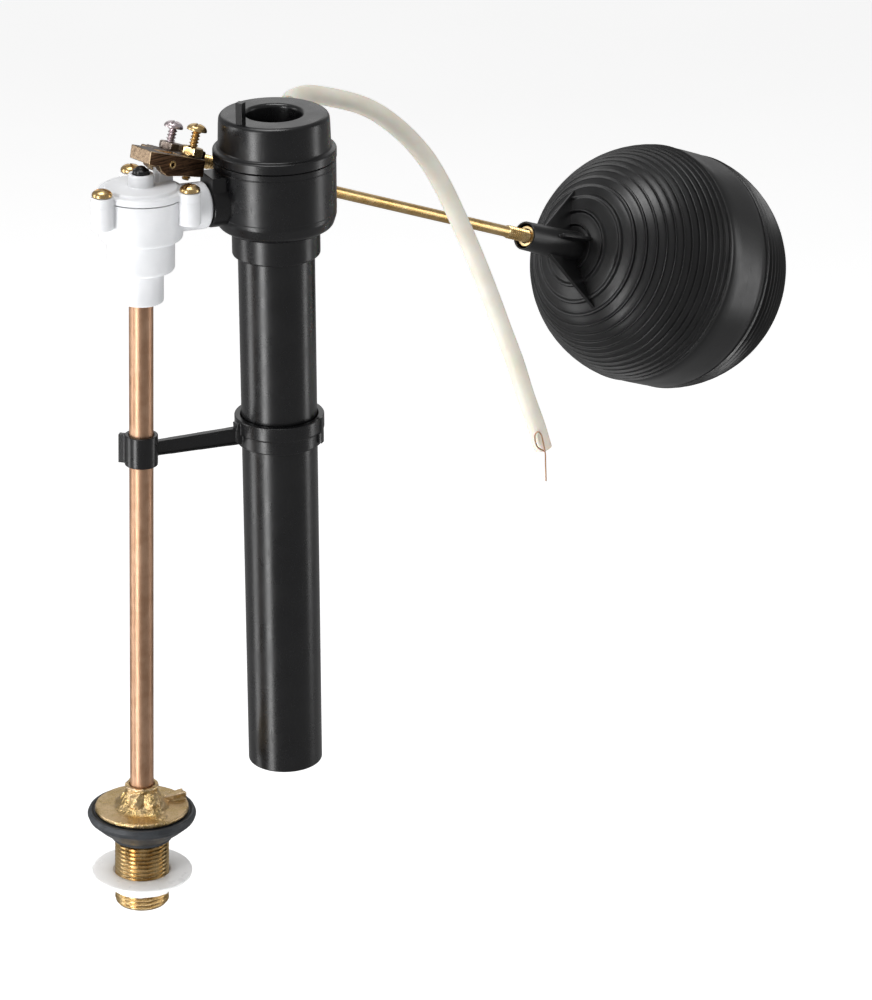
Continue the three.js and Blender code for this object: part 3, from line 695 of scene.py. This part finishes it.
# ---- shank, washer, nut and riser ----------------------------------------------------------------
def make_shank():
    shank = thread(SHANK_R, 0.95, THREAD_PITCH, SHANK_END_Z, 0.2, bore=6.5, lead=1.3, segments=144)
    piece("shank_fitting", shank, "brass", name="shank_thread")

    flange = revolve([
        (RISER_R + 0.3, 0.05), (19, 0.05, 0.5), (19, 1.9, 0.7), (11.2, 2.1, 3), (7.9, 5.2, 3), (6.3, 9, 2),
        (6.9, 11.6, 0.4), (RISER_R + 0.3, 11.6, 0.2),
    ], 160)
    rib = plate([(5, 0.8), (18.7, 0.8), (18.5, 5, 0.5), (12, 4.5, 1), (5, 5.4)], -2.1, 2.1, 0.4)
    blobs = [                        # centre, size, angle
        (polar(6.2, -96, 4.2), (3.9, 4.6, 5.6), 10), (polar(9.4, -94, 2), (4.6, 4, 2.6), 0),
        (polar(5.8, -146, 4.4), (3.8, 3.6, 5.4), 0), (polar(12.5, -98, 1.7), (3.8, 5, 1), 20),
        (polar(7.4, 140, 4.2), (1.3, 1.2, 3.4), 0), (polar(7, 176, 3.4), (2, 2, 3.4), 0),
    ]
    ball = revolve([(0, -1), *[(math.cos(a), math.sin(a)) for a in np.linspace(-1.3, 1.3, 12)], (0, 1)], 32)
    lumps = [ball.moved(shift(*centre) @ turn(spin, "Z") @ Matrix.Diagonal((*size, 1)))
             for centre, size, spin in blobs]
    casting = mould("shank_flange", [flange, rib.moved(turn(HORN_ANGLE, "Z")), *lumps], 0.2, 3)
    roughen(casting, 0.1, 1.2, above=0.4)
    roughen(casting, 0.42, 3.6, above=2.3)
    carve(casting, [rod(RISER_R + 0.3, 2, 14)], "DIFFERENCE")
    finish_piece(casting, "cast_brass", "frame", "shank_fitting", sharp=60)

    washer = revolve([
        (SHANK_R + 0.3, -12), (12.4, -12, 0.3), (12.8, -10.7, 0.6), (17.6, -6.9, 4), (21.4, -3.4, 1.6),
        (22.1, -1.5, 0.9), (21.3, 0.2, 0.5), (20.4, 0.2, 0.4), (19.6, -0.4, 0.3), (SHANK_R + 0.3, -0.4),
    ], 160)
    piece("shank_washer", washer, "grey_rubber")

    riser = ring(RISER_BORE_R, RISER_R, 3.3, 240, 0.3, segments=128)
    piece("riser_tube", riser, "copper")


def roughen(obj, depth, size, above=-math.inf):
    """Moves the points of a casting in and out by smooth, repeatable noise, above a height. Size is that
    of the lumps."""
    mesh = obj.data
    places = np.empty(3 * len(mesh.vertices))
    normals = np.empty_like(places)
    mesh.vertices.foreach_get("co", places)
    mesh.vertex_normals.foreach_get("vector", normals)
    places, normals = places.reshape(-1, 3), normals.reshape(-1, 3)
    lifts = [noise.fractal(Vector(p) / (size * MM), 0.8, 2.0, 3) if p[2] > above * MM else 0.0
             for p in places]
    places += normals * np.array(lifts)[:, None] * depth * MM
    mesh.vertices.foreach_set("co", places.ravel())
    mesh.update()


def make_lock_nut():
    segments = 180
    spin = math.radians(34)
    washer_z = -28.9                 # from here up the nut has a round washer face

    def hexagon(angles, r, z):
        if r < SHANK_R + 1 or z > washer_z:
            return np.full(segments, r)
        flat = NUT_CORNER_R * math.cos(math.pi / 6) / np.cos((angles - spin) % (math.pi / 3) - math.pi / 6)
        return np.minimum(flat, r)

    nut = revolve([
        (SHANK_R + 0.3, -34), (13.4, -34, 0.2), (14.8, -33.2, 0.3), (14.8, -29.6, 0.3), (14.85, -29, 0.2),
        (16.2, -28.8, 0.4), (20.4, -28.6, 0.5), (20.7, -27.1, 0.5), (SHANK_R + 0.3, -27.1, 0.5),
    ], segments, radius=hexagon)
    piece("lock_nut", nut, "nylon", "lock_nut")


# ---- valve body, cap, screws and plunger ---------------------------------------------------------
def make_valve():
    drum = revolve([
        (RISER_R + 0.3, 218.3), (8.8, 218.3, 0.9), (8.8, 231.3, 0.3), (13.1, 231.3, 1.6), (13.1, 244.2, 0.3),
        (16.2, 244.2, 1.8), (16.2, SEAM_Z + 0.2), (12, SEAM_Z + 0.2), (12, 246, 1), (RISER_R + 0.3, 240, 0.1),
    ], 160)
    bosses = [rod(4.3, 251.5, SEAM_Z + 2, 0.5).moved(shift(*polar(SCREW_CIRCLE_R, angle, 0)))
              for angle in SCREW_ANGLES]
    webs = [block((13, -2.6, 252.2), (18.5, 2.6, SEAM_Z + 2), 0.4).moved(turn(angle, "Z"))
            for angle in SCREW_ANGLES]
    horn = revolve([
        (0, 13), (9.2, 13, 0), (9.2, 26.4, 1.5), (6.6, 26.4, 0.2), (6.6, 38, 0.6), (4.1, 38, 0.4),
        (4.1, 14, 0.2), (0, 14),
    ], 128).moved(HORN)
    body = mould("valve_body_form", [drum, *bosses, *webs, horn], 0.24, 3)
    carve(body, [block((-40, -40, SEAM_Z), (16, 40, SEAM_Z + 9)), rod(16.2, SEAM_Z - 0.2, SEAM_Z + 9)],
          "DIFFERENCE")
    finish_piece(body, "acetal", "frame", "valve_body", sharp=60)

    under = SEAM_Z + 0.3
    lid = revolve([
        (3.5, under + 2), (9.5, under + 2, 0.2), (9.5, under, 0.2), (16.5, under, 0.25), (16.5, 263.8, 0.6),
        (14.5, 263.8, 0.4), (14.1, 265, 0.6), (4.9, 265, 0.4), (4.9, 269.8, 0.5), (3.5, 269.8, 0.3),
    ], 160)
    ears = [rod(4.3, under - 2, 264.5, 0.4).moved(shift(*polar(SCREW_CIRCLE_R, angle, 0)))
            for angle in SCREW_ANGLES]
    bridges = [block((13, -2.6, under - 2), (18.5, 2.6, 263.6), 0.4).moved(turn(angle, "Z"))
               for angle in SCREW_ANGLES]
    x, _, z = PIVOT
    post = plate([
        (x - 4.3, 264), (x + 3, 264), (x + 3, z + 3, 2.9), (x - 3, z + 3, 2.9), (x - 3.4, z - 2, 1),
    ], -2.2, 2.2, 0.35)
    cap = mould("valve_cap_form", [lid, *ears, *bridges, post], 0.22, 3)
    carve(cap, [
        rod(PIN_HOLE_R, -5, 5).moved(shift(x, 0, z) @ ALONG_Y),
        block((-40, -40, SEAM_Z - 9), (40, 40, SEAM_Z + 0.04)),
        ring(8, 16.2, SEAM_Z - 3, under),
    ], "DIFFERENCE")
    finish_piece(cap, "acetal", "frame", "valve_cap", sharp=60)

    for number, angle in enumerate(SCREW_ANGLES):
        on_circle = shift(*polar(SCREW_CIRCLE_R, angle, 0))
        head = slotted_head(4, 2.7, 264.8, 20 + 50 * number)
        stem = thread(SCREW_R, 0.22, 0.8, 253.2, 265, segments=40)
        screw = join(f"cap_screw_{number + 1}_form", head, stem)
        place(screw, on_circle)
        finish_piece(screw, "brass", "frame", f"cap_screw_{number + 1}")

    plunger = revolve([
        (0, 261.7), (5, 261.7, 0.2), (5, 262.6, 0.2), (3.2, 262.6, 0.2), (3.2, 271.2, 0.5), (2.2, 271.6, 0.3),
        (1.5, 272.5, 0.6), (0, 272.5),
    ], 64)
    piece("plunger", plunger, "black_plastic", "plunger")

    diaphragm = piece("diaphragm", revolve([
        (0, PAD_Z), (5.6, PAD_Z, 0.3), (7, PAD_Z + 0.3, 0.6), (9, PAD_Z - 0.6, 0.8), (11.2, PAD_Z, 0.5),
        (14, PAD_Z, 0.3), (14, PAD_Z + 1.5, 0.3), (11, PAD_Z + 1.5, 0.5), (9, PAD_Z + 0.6, 0.8),
        (7, PAD_Z + 1.4, 0.6), (5.6, PAD_Z + 2.3, 0.5), (0, PAD_Z + 2.3),
    ]), "black_rubber")
    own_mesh(diaphragm)


def slotted_head(r, h, z, slot_angle):
    """A domed screw head with a sawn slot, standing on z, as an object."""
    dome = [(r * math.cos(a), z + 0.3 + (h - 0.3) * math.sin(a)) for a in np.linspace(0.05, 1.5, 12)]
    head = make_object("head", revolve([(0, z), (r * 0.97, z, 0.1), *dome, (0, z + h)], 72))
    slot = block((-r - 1, -0.5, z + h * 0.55), (r + 1, 0.5, z + h + 1), 0.05)
    return carve(head, [slot.moved(turn(slot_angle, "Z"))], "DIFFERENCE")


def join(name, head, stem):
    """A whole screw, from a head, which is an object, and a stem, which is a form."""
    carve(head, [stem], "UNION")
    head.name = name
    return head


# ---- lever, block, screws and pin ----------------------------------------------------------------
def make_lever():
    side = [
        (-11.2, -2.1, 0.4), (-8, -2.1, 0.5), (-6.4, -1.5, 0.8), (-4.6, -3.4, 1.6), (-1, -4.9, 3.4),
        (1.6, -4.4, 2), (6, -3.6, 1), (16.8, -2.2, 0.5), (15.6, 4.5, 0.5), (-12.2, 3.1, 0.4),
    ]
    wide_end = [(-11.2, -2.1, 0.4), (3, -2.1), (3, 3.87), (-12.2, 3.1, 0.4)]
    lever = mould("lever_form", [plate(side, -5.5, 5.5, 0.3), plate(wide_end, 0, 6.7, 0.3)], 0.16, 2)
    roughen(lever, 0.06, 2.4)
    carve(lever, [
        block((-5.2, -2.5, -9), (5.2, 2.5, 9), 0.3),
        rod(PIN_HOLE_R, -8, 8).moved(ALONG_Y),
        rod(SCREW_HOLE_R, -10, 10).moved(shift(12.9, 0, 0) @ turn(SCREW_LEAN, "Y")),
    ], "DIFFERENCE")
    place(lever, ARM)
    finish_piece(lever, "bronze", "arm", "lever", sharp=50)

    low, high = BLOCK_Y - 4.5, BLOCK_Y + 4.5
    casting = mould("rod_block_form", [
        plate([
            (4, -2.6, 0.5), (17, -2.6, 0.6), (27, -1.6, 0.8), (27, 6.5, 0.8), (17, 6.5, 0.8),
            (16.4, 3.6, 0.8), (4, 3.6, 0.5),
        ], low, high, 0.4),
        plate([(5, -2.2), (14.5, -2.2), (14.5, 2.4), (5, 2.4)], 5.8, low + 1, 0.3),
        plate([(-2, 2.2, 0.4), (5, 2.2), (5, 3.6), (-2, 3.6, 0.4)], low - 1, low + 5, 0.3),
    ], 0.18, 3)
    roughen(casting, 0.12, 1.8)
    carve(casting, [
        rod(SCREW_HOLE_R, -10, 10).moved(shift(11.9, BLOCK_Y, 0) @ turn(SCREW_LEAN, "Y")),
        rod(3.3, 17.1, 30).moved(shift(0, BLOCK_Y, ROD_W) @ ALONG_X),
    ], "DIFFERENCE")
    place(casting, ARM)
    finish_piece(casting, "bronze", "arm", "rod_block", sharp=50)

    pin = revolve([(0, -6), (1.5, -6, 0.2), (1.5, 6, 0.2), (0.85, 6, 0.15), (0.85, 2), (0, 2)], 48)
    piece("fulcrum_pin", pin.moved(ARM @ turn(180, "Z") @ ALONG_Y), "brass")

    for name, spot, r, h, z0, z1, nut_r, nut_z, screw_slot, nut_slot in (
        ("adjusting", ADJUSTING, 4, 2.9, -5.1, 14.3, 4.6, (4.75, 7.9), "brass", "brass"),
        ("clamp", CLAMPING, 3.8, 2.8, -2, 12.4, 4.2, (3.95, 6.7), "zinc_steel", "dark_steel"),
    ):
        stem = thread(SCREW_R + 0.3, 0.7, FINE_PITCH, z0, z1 + 0.5, segments=48)
        screw = join(f"{name}_screw_form", slotted_head(r, h, z1, 35), stem)
        place(screw, spot)
        finish_piece(screw, screw_slot, f"{name}_screw", f"{name}_screw")
        piece(f"{name}_nut", hex_nut(nut_r, *nut_z).moved(spot), nut_slot, f"{name}_nut")


def hex_nut(corner, z0, z1, bore=SCREW_R + 0.3):
    """A hexagon nut with chamfered corners and a bore."""
    segments = 120

    def hexagon(angles, r, _):
        if r < bore + 1:
            return np.full(segments, r)
        flat = corner * math.cos(math.pi / 6) / np.cos(angles % (math.pi / 3) - math.pi / 6)
        return np.minimum(flat, r)

    return revolve([
        (bore, z0, 0.3), (corner * 0.88, z0), (corner, z0 + 0.45), (corner, z1 - 0.45), (corner * 0.88, z1),
        (bore, z1, 0.3),
    ], segments, radius=hexagon)


def place(obj, matrix):
    """Moves an object's mesh by a matrix in millimetres."""
    scaled = Matrix(matrix)
    scaled.translation *= MM
    obj.data.transform(scaled)


# ---- rod and float -------------------------------------------------------------------------------
def make_rod_and_float():
    rod_r, thread_r = 2.38, 2.85
    shaft = revolve([(0, 33.5), (2.5, 33.5), (rod_r, 35), (rod_r, 205), (2.5, 206.5), (0, 206.5)], 64)
    near_thread = thread(thread_r, 0.6, FINE_PITCH, 17.4, 34.5, segments=64)
    far_thread = thread(thread_r, 0.6, FINE_PITCH, 205.5, 229, segments=64)
    piece("float_rod", (shaft + near_thread + far_thread).moved(ROD), "brass", "arm")

    insert = revolve([
        (3.3, 1), (4.5, 1, 0.3), (4.5, 6), (4.9, 6.4), (4.9, 12), (3.3, 12),
    ], 64)
    piece("float_insert", insert.moved(FLOAT), "brass", "float")

    pole = FLOAT_CENTRE - FLOAT_R - FLOAT_BAND / 2
    front_centre = FLOAT_CENTRE - FLOAT_BAND / 2
    starts = [math.degrees(math.acos((FLOAT_R - 3 - RIB_PITCH * k) / FLOAT_R)) for k in range(RIB_COUNT)]
    smooth_r = FLOAT_R - 0.6
    inner_r = FLOAT_R - FLOAT_WALL
    seam = FLOAT_CENTRE - 0.02       # the two shells don't quite touch
    wall = [(inner_r * math.sin(a), front_centre - inner_r * math.cos(a))
            for a in np.linspace(1.55, 0.11, 40)]
    front = [
        *ribbed_arc([11.5, *starts], front_centre, -1), (FLOAT_R - 0.7, front_centre - 4),
        (smooth_r, front_centre), (smooth_r, seam), (inner_r, seam), *wall,
        (5.2, 13), (5.2, 0.7), (5.5, 0, 0.2), (6.1, 0, 0.5), (6.45, pole - 6), (6.6, pole - 1.5, 1.2),
    ]
    shell = revolve(front, 256, 4)
    piece("float_front_shell", shell.moved(FLOAT), "float_plastic", "float", name="float_front")

    tall = [(13, 5.4), (37.5, 26.9, 0.5), (39.5, 26.9, 0.3), (39, 10), (pole + 3, 5.2)]
    low = [(15.5, 5.4), (16.2, 8.5, 0.8), (31.6, 10.8, 0.8), (33.5, 8), (33, 5.4)]
    fins = [plate(outline, -0.8, 0.8, 0.25).moved(ALONG_X.inverted() @ turn(angle - 90, "X"))
            for outline, angle in ((tall, 55), (tall, 235), (low, 145), (low, 325))]
    sleeve = revolve([
        (5.4, 0.1, 0.2), (6.1, 0.05, 0.5), (6.45, pole - 6), (6.9, pole + 2), (5.4, pole + 2),
    ], 96)
    hub = mould("float_hub", [sleeve, *fins], 0.22, 3)
    place(hub, FLOAT)
    finish_piece(hub, "float_plastic", "float", "float_front_shell", sharp=60)

    rear_centre = FLOAT_CENTRE + FLOAT_BAND / 2
    shoulder = [(smooth_r * math.sin(math.radians(a)), rear_centre + smooth_r * math.cos(math.radians(a)))
                for a in (85, 87, 90)]
    inside = [(inner_r * math.sin(a), rear_centre + inner_r * math.cos(a))
              for a in np.linspace(1.57, 0.08, 40)]
    rear = [
        *ribbed_arc(starts, rear_centre, 1), *shoulder, (smooth_r, FLOAT_CENTRE), (inner_r, FLOAT_CENTRE),
        *inside, (0, rear_centre + inner_r),
    ]
    shell = revolve(rear, 256, 4)
    piece("float_rear_shell", shell.moved(FLOAT), "float_plastic", "float", name="float_rear")


def ribbed_arc(starts, centre, way):
    """(r, z) points of a dome from its pole out to the last rib. Each rib rises to its lip and drops to
    the next rib's start angle; way is -1 for the dome at the hub and 1 for the far one."""
    points = [(0, centre + way * FLOAT_R)] if way > 0 else []
    first = 0.6 if way > 0 else 7.5
    edges = [first, *starts, RIBS_END]
    steps = 24
    for low, high in zip(edges, edges[1:]):
        for k in range(steps):
            t = k / steps
            angle = low + (high - low) * t
            radius = FLOAT_R - RIB_H + (RIB_H * rib_height(t) if high != RIBS_END else 0.0)
            a = math.radians(angle)
            points.append((radius * math.sin(a), centre + way * radius * math.cos(a)))
    a = math.radians(RIBS_END)
    points.append(((FLOAT_R - RIB_H) * math.sin(a), centre + way * (FLOAT_R - RIB_H) * math.cos(a)))
    return points


def rib_height(t):
    """0 to 1 across one rib: a gently rising terrace, a raised lip and a sharp fall."""
    def ease(x):
        x = min(1.0, max(0.0, x))
        return x * x * (3 - 2 * x)
    return 0.15 * ease(t / 0.6) + 0.85 * ease((t - 0.66) / 0.16) - ease((t - 0.86) / 0.14)


# ---- canister, hush tube, vent and nipple --------------------------------------------------------
def make_canister():
    shell = revolve([
        (15.5, -23.2, 0.3), (17.3, -23.2, 0.9), (17.3, -12.8, 0.5), (19.8, -12.4, 1.5), (22.6, -10.6, 3),
        (23.9, -6.4, 4), (23.78, -5.0, 0.2), (23.9, -4.6, 0.2), (23.9, 13.4, 0.2), (23.7, 13.7, 0.15),
        (23.9, 14, 0.2), (23.9, 16.3, 0.5), (21.7, 16.3, 0.2), (21.7, -6, 3), (15.5, -10.6, 1),
    ], 192)
    body = make_object("canister_body_form", shell)
    to_canister = CANISTER.inverted()
    socket = mould("socket", [
        rod(9, 27, 36, 0.9).moved(to_canister @ HORN),
        block((-12, -6.4, 27), (0, 6.4, 36), 2.6).moved(to_canister @ HORN),
    ], 0.22, 3)
    carve(socket, [rod(21.8, -30, 30, segments=128)], "DIFFERENCE")
    carve(body, [socket], "UNION")
    carve(body, [rod(7.2, 25, 46).moved(to_canister @ HORN)], "DIFFERENCE")
    place(body, CANISTER)
    finish_piece(body, "black_plastic", "frame", "canister_body")

    cover = revolve([
        (19.5, 12.6, 0.2), (21.4, 12.6, 0.2), (21.4, 16.6, 0.1), (24.1, 16.6, 0.3), (24.1, 20.2, 0.9),
        (22, 21, 1.1), (21.7, 30, 0), (21.4, 34, 5.5), (11, 34, 1.6), (10, 26, 1), (9.7, 17, 0.3),
        (7.4, 17, 0.3), (7.4, 15.4, 0.3), (11.5, 15.4, 0.8), (11.9, 31.4, 1), (17.7, 31.8, 2), (19.5, 29, 1),
    ], 192)
    cap = make_object("canister_cap_form", cover)
    post = block((-1.4, -1.4, 32.6), (1.4, 1.4, 42.6), 0.25)
    carve(cap, [post.moved(shift(*polar(18.4, -173, 0)) @ turn(20, "Z"))], "UNION")
    nipple_hole = rod(2.5, 14, 30).moved(shift(0, 0, NIPPLE_Z) @ turn(NIPPLE_ANGLE, "Z") @ ALONG_X)
    carve(cap, [nipple_hole], "DIFFERENCE")
    place(cap, CANISTER)
    finish_piece(cap, "black_plastic", "frame", "canister_cap")

    piece("hush_tube", revolve([
        (TUBE_BORE_R, -243.6, 0.5), (TUBE_R, -243.6, 0.6), (TUBE_R, -14, 0.3), (TUBE_BORE_R, -14, 0.3),
    ], 160).moved(CANISTER), "black_plastic")

    piece("vent_disc", revolve([
        (0, 17.3), (9.2, 17.3, 0.3), (9.2, 18.6, 0.5), (2.6, 18.6, 0.4), (2.2, 21, 0.6), (0, 21),
    ], 96).moved(CANISTER), "black_rubber", "vent_disc")

    piece("refill_nipple", revolve([
        (1.2, 19, 0.2), (2.2, 19, 0.2), (2.2, 22.1, 0.2), (3.4, 22.1, 0.3), (3.4, 23.9, 0.3),
        (2.1, 23.9, 0.2), (2.1, 31.4, 0.3), (1.2, 31.4, 0.2),
    ], 64).moved(NIPPLE), "black_plastic")


# ---- bracket between the riser and the hush tube -------------------------------------------------
def make_bracket():
    height = (BRACKET_Z + 1.3 - HORN_Z) / math.cos(math.radians(CANISTER_LEAN))
    on_tube = CANISTER @ shift(0, 0, height)
    centre = on_tube.translation
    angle = math.degrees(math.atan2(centre.y, centre.x))
    reach = math.hypot(centre.x, centre.y)
    grip = TUBE_R + 0.3
    start, end = CLIP_R - 1, reach - grip - 1
    outline = [(start, -2.9), (end, -3.5), (end, 3.5), (start, 2.9)]
    flange = [(start, 2.1), (end, 2.6), (end, 3.5), (start, 2.9)]
    arm_place = shift(0, 0, BRACKET_Z) @ turn(angle, "Z")
    parts = [
        ring(RISER_R + 0.3, CLIP_R, 150.6, 163.2, 0.3),
        ring(grip, 17.9, -0.1, 5.8, 0.4, 160).moved(on_tube),
        ring(grip, 17.1, -5.8, 0.2, 0.4, 160).moved(on_tube),
        plate(outline, -0.75, 0.75, 0.2).moved(arm_place),
        plate(flange, -1.5, 1.5, 0.2).moved(arm_place),
        plate([(x, -z) for x, z in flange], -1.5, 1.5, 0.2).moved(arm_place),
        block((CLIP_R - 0.8, -1, 151), (CLIP_R + 2.4, 1.4, 162.8), 0.3).moved(turn(128, "Z")),
        block((16.7, -1.2, -4.6), (18.6, 1.2, 6.2), 0.3).moved(on_tube @ turn(-62, "Z")),
        block((-19.2, -2.2, -3.4), (-16.3, 2.2, 4.6), 0.8).moved(on_tube @ turn(angle, "Z")),
    ]
    bracket = mould("support_bracket_form", parts, 0.2, 3)
    carve(bracket, [
        block((1, -2.4, 149), (12, 2.4, 165)).moved(turn(72, "Z")),
        block((6, -8, -8), (24, 8, 8)).moved(on_tube @ turn(52, "Z")),
        rod(grip, -9, 9, segments=192).moved(on_tube),
        rod(RISER_R + 0.3, 148, 166),
    ], "DIFFERENCE")
    finish_piece(bracket, "black_plastic", "frame", "support_bracket", sharp=60)


# ---- CAD pieces that stay, floor and light -------------------------------------------------------
def dress_inner_nodes():
    slots = {s["node"]: s["material_slot"] for s in frame["record"]["subparts"]}
    for node in ("riser_o_ring", "outlet_o_ring", "valve_seat"):
        kept = frame["nodes"][node]
        for material_slot in kept.material_slots:
            material_slot.material = MATERIALS[slots[node]]


def make_floor():
    """A pale floor and, round it, a pale wall that rises behind the valve from every side."""
    low = CAD_BOX[0][2] / MM - FLOOR_DROP
    floor_r, wall_r, wall_h, thick = 6000, 6500, 6000, 20
    s = Surface("floor_paper", 0.9)
    s.colour(s.mix(s.span(s.noise(3, 3), 0.3, 0.7), (0.9, 0.9, 0.9), (0.92, 0.92, 0.92)))
    s.shader.inputs["Emission Color"].default_value = (1, 1, 1, 1)
    s.shader.inputs["Emission Strength"].default_value = 0.6
    floor = make_object("floor", rod(floor_r, low - thick, low))
    wall = make_object("wall", revolve([
        (floor_r, low), (wall_r, low, 500), (wall_r, low + wall_h), (wall_r + thick, low + wall_h),
        (wall_r + thick, low - thick), (floor_r, low - thick),
    ], steps=12))
    wall.visible_diffuse = False     # it is only seen; the world's light comes through it
    for surface in (floor, wall):
        surface.data.materials.append(s.material)
        surface.visible_glossy = False   # black plastic would turn grey with the floor in it


def softbox(name, where, aim, size, power):
    """An area light at a place in metres, turned towards an aim."""
    data = bpy.data.lights.new(name, "AREA")
    data.shape = "RECTANGLE"
    data.size, data.size_y = size
    data.energy = power
    light = bpy.data.objects.new(name, data)
    light.location = where
    light.rotation_euler = (Vector(aim) - Vector(where)).to_track_quat("-Z", "Y").to_euler()
    bpy.context.collection.objects.link(light)


def make_lights():
    world = bpy.data.worlds.new("studio")
    world.use_nodes = True
    sky = world.node_tree.nodes["Background"]
    sky.inputs["Color"].default_value = (1, 1, 1, 1)
    sky.inputs["Strength"].default_value = 0.32
    bpy.context.scene.world = world
    aim = (0.1, 0, 0.15)

    def around(angle, distance, height):
        """A place beside the line from the object to the camera; angle is to the camera's left."""
        a = math.radians(CAMERA_HEADING + 180 - angle)
        return (aim[0] + distance * math.cos(a), aim[1] + distance * math.sin(a), height)

    softbox("key", around(40, 1.3, 0.1), aim, (0.3, 1.7), 15)
    softbox("rim", around(86, 1.3, 0.1), aim, (0.36, 1.7), 7)
    softbox("side", around(-95, 1.5, 0.2), aim, (0.3, 1.5), 5)
    softbox("top", (-0.1, 0.1, 1.7), aim, (0.8, 0.8), 12)
    softbox("back", around(180, 2.2, 1.15), aim, (2.2, 0.9), 5)
    scene = bpy.context.scene
    scene.view_settings.view_transform = "Standard"
    scene.view_settings.look = "None"


make_camera()
MATERIALS = make_materials()
make_hose()
make_shank()
make_lock_nut()
make_valve()
make_lever()
make_rod_and_float()
make_canister()
make_bracket()
dress_inner_nodes()
make_floor()
make_lights()
